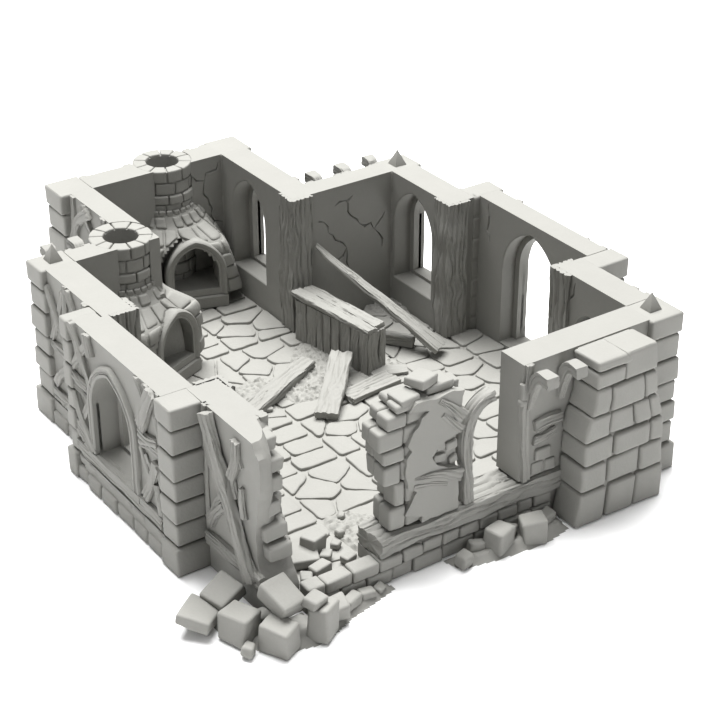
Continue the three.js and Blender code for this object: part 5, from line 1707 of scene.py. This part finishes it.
def build_pins():
    for name in ("left_rear", "right_rear", "front_right"):
        low, high = box_mm(f"pin_{name}")
        centre = (low + high) / 2 + CORNER
        side = high[0] - low[0]
        height = high[2] - low[2] + 0.3
        deselect()
        bpy.ops.mesh.primitive_cone_add(vertices=4, radius1=side / math.sqrt(2) * MM, depth=height * MM,
                                        rotation=(0, 0, math.pi / 4),
                                        location=tuple((centre - [0, 0, 0.15]) * MM))
        pin = bpy.context.object
        pin.name = f"pyramid_pin_{name}"
        bpy.ops.object.transform_apply(location=True, rotation=True, scale=True)
        bpy.ops.object.mode_set(mode="EDIT")
        bpy.ops.mesh.select_all(action="SELECT")
        bpy.ops.mesh.bevel(offset=0.12 * MM, segments=2, affect="EDGES")
        bpy.ops.object.mode_set(mode="OBJECT")
        finish(pin, "stone", f"pin_{name}", angle=25)


# ---------------------------------------------------------------- rubble

def build_rubble():
    shape = Shape()
    blocks = [
        # centre, size, turn, tip, roll
        ((-27.0, 1.6, 4.4), (12, 10, 4.2), 38, 8, 12), ((-18.2, 3.6, 6.6), (9.8, 9, 4.2), 12, -18, 6),
        ((-20.5, -8.8, 4.9), (7.6, 9.4, 9.2), 20, 4, 0), ((-14.2, -19, 4.7), (7.8, 9.2, 9.2), 26, -3, 2),
        ((-9.8, -13.4, 12.2), (8.8, 10.6, 5.6), 14, 0, 24), ((-1.3, -20.4, 5.4), (8.4, 6.4, 10.6), 34, 3, 0),
        ((-3.2, -19.4, 12.0), (6.4, 5, 3.2), 22, 8, 6), ((11.5, -15.5, 2.8), (6.5, 3.8, 3.6), 24, 4, 3),
        ((5.0, -17.4, 4.2), (6.8, 6.0, 5.0), -14, -10, 8), ((17.6, -14.4, 2.2), (5.0, 3.6, 3.0), -8, 5, 0),
        ((22.4, -13.8, 1.6), (3.6, 3.0, 2.2), 18, 0, 6), ((-7.4, -9.6, 6.2), (5.6, 5.8, 4.4), -24, 10, 12),
        ((-13.6, -8.6, 3.0), (5.4, 4.6, 5.2), 8, 6, 0), ((-22.4, -16.6, 2.2), (4.4, 3.6, 3.4), 40, 8, 0),
    ]
    for k, (centre, size, turn, tip, roll) in enumerate(blocks):
        tilted_stone(shape, centre, size, 760 + k, turn=turn, tip=tip, roll=roll, radius=0.8, rough=0.5,
                     pitted=0.16)
    rubble_bed(shape, [(-24, 0), (-22, -12), (-15, -21), (-3, -23.5), (9, -19), (27, -14.6), (26, -11.8),
                       (0, -11.8), (-1, -9), (-12.4, -9), (-12.4, 7)], 2.0, 790)
    shape.piece("rubble_stones", "stone", "rubble_heap")

    slab = Shape()
    tilted_stone(slab, (7.9, 6.4, FLOOR_TOP + GAP + 2.2), (11.6, 11, 2.8), 801, turn=-22, tip=-4, roll=4,
                 radius=0.5)
    slab.keep_between(FLOOR_TOP + 0.02)
    slab.piece("rubble_floor_slab", "stone", "rubble_slab")

    shape = Shape()
    for k, (centre, size, turn, tip, roll) in enumerate([
            ((62.6, -16.6, 4), (7.4, 6.6, 8), 20, 4, 3), ((73.6, -18.4, 4), (7.6, 6.6, 8.2), -20, -4, 3),
            ((49.4, -17.4, 2.3), (4.6, 4.2, 4.6), 8, 0, 8), ((56.4, -14.4, 2.4), (5.4, 3.4, 3.6), -10, 12, 0),
            ((68.0, -14.4, 2.6), (4.6, 4.2, 4.6), 30, 0, 0),
            ((81.4, -15.2, 2.6), (5.4, 4.4, 4.6), 16, 0, 10)]):
        tilted_stone(shape, centre, size, 820 + k, turn=turn, tip=tip, roll=roll, radius=0.8, rough=0.4,
                     pitted=0.14)
    rubble_bed(shape, [(46, -12), (48, -18), (60, -20.5), (76, -22), (86, -20), (87, -12)], 2.0, 835)
    shape.piece("rubble_stones_by_buttress", "stone", "rubble_by_buttress")

    # Small loose stones on the floor and just outside
    shape = Shape()
    rng = np.random.default_rng(9)
    loose = [
        ((13.3, 6.5, 8.2), (6.2, 5.6, 7.0), 20), ((9.6, -2.6, 6.8), (6.4, 3.8, 3.6), 10),
        ((14.6, 1.6, 6.6), (3.6, 3.4, 3.2), 45), ((19.4, -2.4, 6.4), (4.4, 3.2, 2.8), 15),
        ((4.0, -4.4, 6.6), (4.6, 3.6, 3.4), 60), ((20.2, 5.2, 6.2), (3.0, 2.8, 2.4), 33),
        ((24.6, 9.6, 6.0), (2.6, 2.4, 2.0), 12), ((29.8, 16.4, 5.9), (2.4, 2.2, 1.8), 50),
    ]
    for k, (centre, size, turn) in enumerate(loose):
        tilted_stone(shape, centre, size, 850 + k, turn=turn, tip=rng.uniform(-6, 6), radius=0.6, rough=0.35)
    shape.keep_between(FLOOR_TOP - 0.1)
    shape.piece("small_loose_stones", "stone")


def rubble_bed(shape, outline, height, seed, step=0.55):
    """Low broken ground between the stones."""
    outline = np.array(outline, float)
    low, high = outline.min(axis=0), outline.max(axis=0)
    nx, ny = ((high - low) / step).astype(int)
    x, y = np.meshgrid(np.linspace(low[0], high[0], nx), np.linspace(low[1], high[1], ny), indexing="ij")
    flat = np.stack([x.ravel(), y.ravel()], axis=1)
    inside = np.zeros(len(flat), bool)
    nearest = np.full(len(flat), 1e9)
    for p, q in zip(outline, np.roll(outline, -1, axis=0)):
        crossing = (p[1] > flat[:, 1]) != (q[1] > flat[:, 1])
        with np.errstate(divide="ignore", invalid="ignore"):
            meets = (q[0] - p[0]) * (flat[:, 1] - p[1]) / (q[1] - p[1]) + p[0]
        inside ^= crossing & (flat[:, 0] < meets)
        t = np.clip(((flat - p) @ (q - p)) / max((q - p) @ (q - p), 1e-9), 0, 1)
        nearest = np.minimum(nearest, np.linalg.norm(flat - (p + t[:, None] * (q - p)), axis=1))
    rise = np.where(inside, np.clip(nearest / 2.2, 0, 1), 0)
    spot = np.column_stack([flat, np.zeros(len(flat))])
    lumps = 0.5 * noise(spot, 2.6, seed) + 0.35 * noise(spot, 1.2, seed + 1)
    z = rise * (height + lumps * 0.9)
    used = z > 0.02
    grid = np.arange(nx * ny).reshape(nx, ny)
    i, j = np.meshgrid(np.arange(nx - 1), np.arange(ny - 1), indexing="ij")
    quads = np.stack([grid[i, j], grid[i + 1, j], grid[i + 1, j + 1], grid[i, j + 1]], axis=-1).reshape(-1, 4)
    quads = quads[used[quads].any(axis=1)]
    kept, renamed = np.unique(quads, return_inverse=True)
    quads = renamed.reshape(-1, 4)
    points = np.column_stack([flat[kept], z[kept]])
    ways = np.vstack([quads[:, [a, (a + 1) % 4]] for a in range(4)])
    _, first, count = np.unique(np.sort(ways, axis=1), axis=0, return_index=True, return_counts=True)
    border = ways[first[count == 1]]
    total = len(points)
    skirt = np.column_stack([border[:, 1], border[:, 0], border[:, 0] + total, border[:, 1] + total])
    shape.add(np.vstack([points, points * [1, 1, 0]]), quads, skirt, quads[:, ::-1] + total)


# ---------------------------------------------------------------- all together

build_plaster_walls()
build_weather_sides()
build_quoins()
build_buttress()
build_floor()
build_oven("rear", -18.9, ROOM_REAR, 6.9, 31, (ROOM_LEFT, ROOM_RIGHT))
build_oven("left", 24, HALL_DEPTH, 1.8, 57, (0, 60), wall_end=ROOM_LEFT)
for oven in ("rear", "left"):
    build_hearth(oven)
    build_stack(oven, 77 if oven == "rear" else 88)
build_posts()
build_struts()
build_beams()
build_broken_wall()
build_pier()
build_jamb()
build_front_timbers()
build_counter()
build_planks()
build_pins()
build_rubble()


# ---------------------------------------------------------------- floor, light and camera

def build_stage():
    deselect()
    bpy.ops.mesh.primitive_plane_add(size=6.0, location=(0, 0, -0.00005))
    ground = bpy.context.object
    ground.name = "pale_floor"
    material = bpy.data.materials.new("pale_floor")
    material.use_nodes = True
    nodes, links = material.node_tree.nodes, material.node_tree.links
    shader = nodes["Principled BSDF"]
    shader.inputs["Roughness"].default_value = 0.9
    shader.inputs["Specular IOR Level"].default_value = 0.1
    cloud = nodes.new("ShaderNodeTexNoise")
    cloud.inputs["Scale"].default_value = 2.0
    links.new(nodes.new("ShaderNodeTexCoord").outputs["Object"], cloud.inputs["Vector"])
    ramp = nodes.new("ShaderNodeValToRGB")
    ramp.color_ramp.elements[0].color = (0.86, 0.86, 0.86, 1)
    ramp.color_ramp.elements[1].color = (0.9, 0.9, 0.9, 1)
    links.new(cloud.outputs["Fac"], ramp.inputs["Fac"])
    links.new(ramp.outputs["Color"], shader.inputs["Base Color"])
    ground.data.materials.append(material)


def soft_light(name, place, target, size, power):
    deselect()
    bpy.ops.object.light_add(type="AREA", location=place)
    lamp = bpy.context.object
    lamp.name = name
    lamp.data.shape = "DISK"
    lamp.data.size = size
    lamp.data.energy = power
    way = np.array(target, float) - np.array(place, float)
    lamp.rotation_euler = mathutils.Vector(way).to_track_quat("-Z", "Y").to_euler()


build_stage()
soft_light("overhead_key", (0.15, 0.4, 1.45), (0, 0, 0), 1.2, 78)
soft_light("left_fill", (-1.15, -0.4, 1.3), (0, 0, 0), 1.2, 5.2)
soft_light("front_fill", (0.6, -1.35, 1.35), (0, 0, 0), 1.3, 7.5)

world = bpy.data.worlds.new("studio")
world.use_nodes = True
world.node_tree.nodes["Background"].inputs["Color"].default_value = (1, 1, 1, 1)
world.node_tree.nodes["Background"].inputs["Strength"].default_value = 0.12
bpy.context.scene.world = world
bpy.context.scene.view_settings.view_transform = "Standard"

camera = bpy.data.cameras.new("camera")
camera.lens = 89.95  # both in millimetres
camera.sensor_width = 36
camera.clip_start = 0.01
eye = bpy.data.objects.new("camera", camera)
bpy.context.scene.collection.objects.link(eye)
eye.location = (-0.26786, -0.42427, 0.30868)
eye.rotation_euler = mathutils.Vector((0.4931, 0.7131, -0.4983)).to_track_quat("-Z", "Y").to_euler()
bpy.context.scene.camera = eye
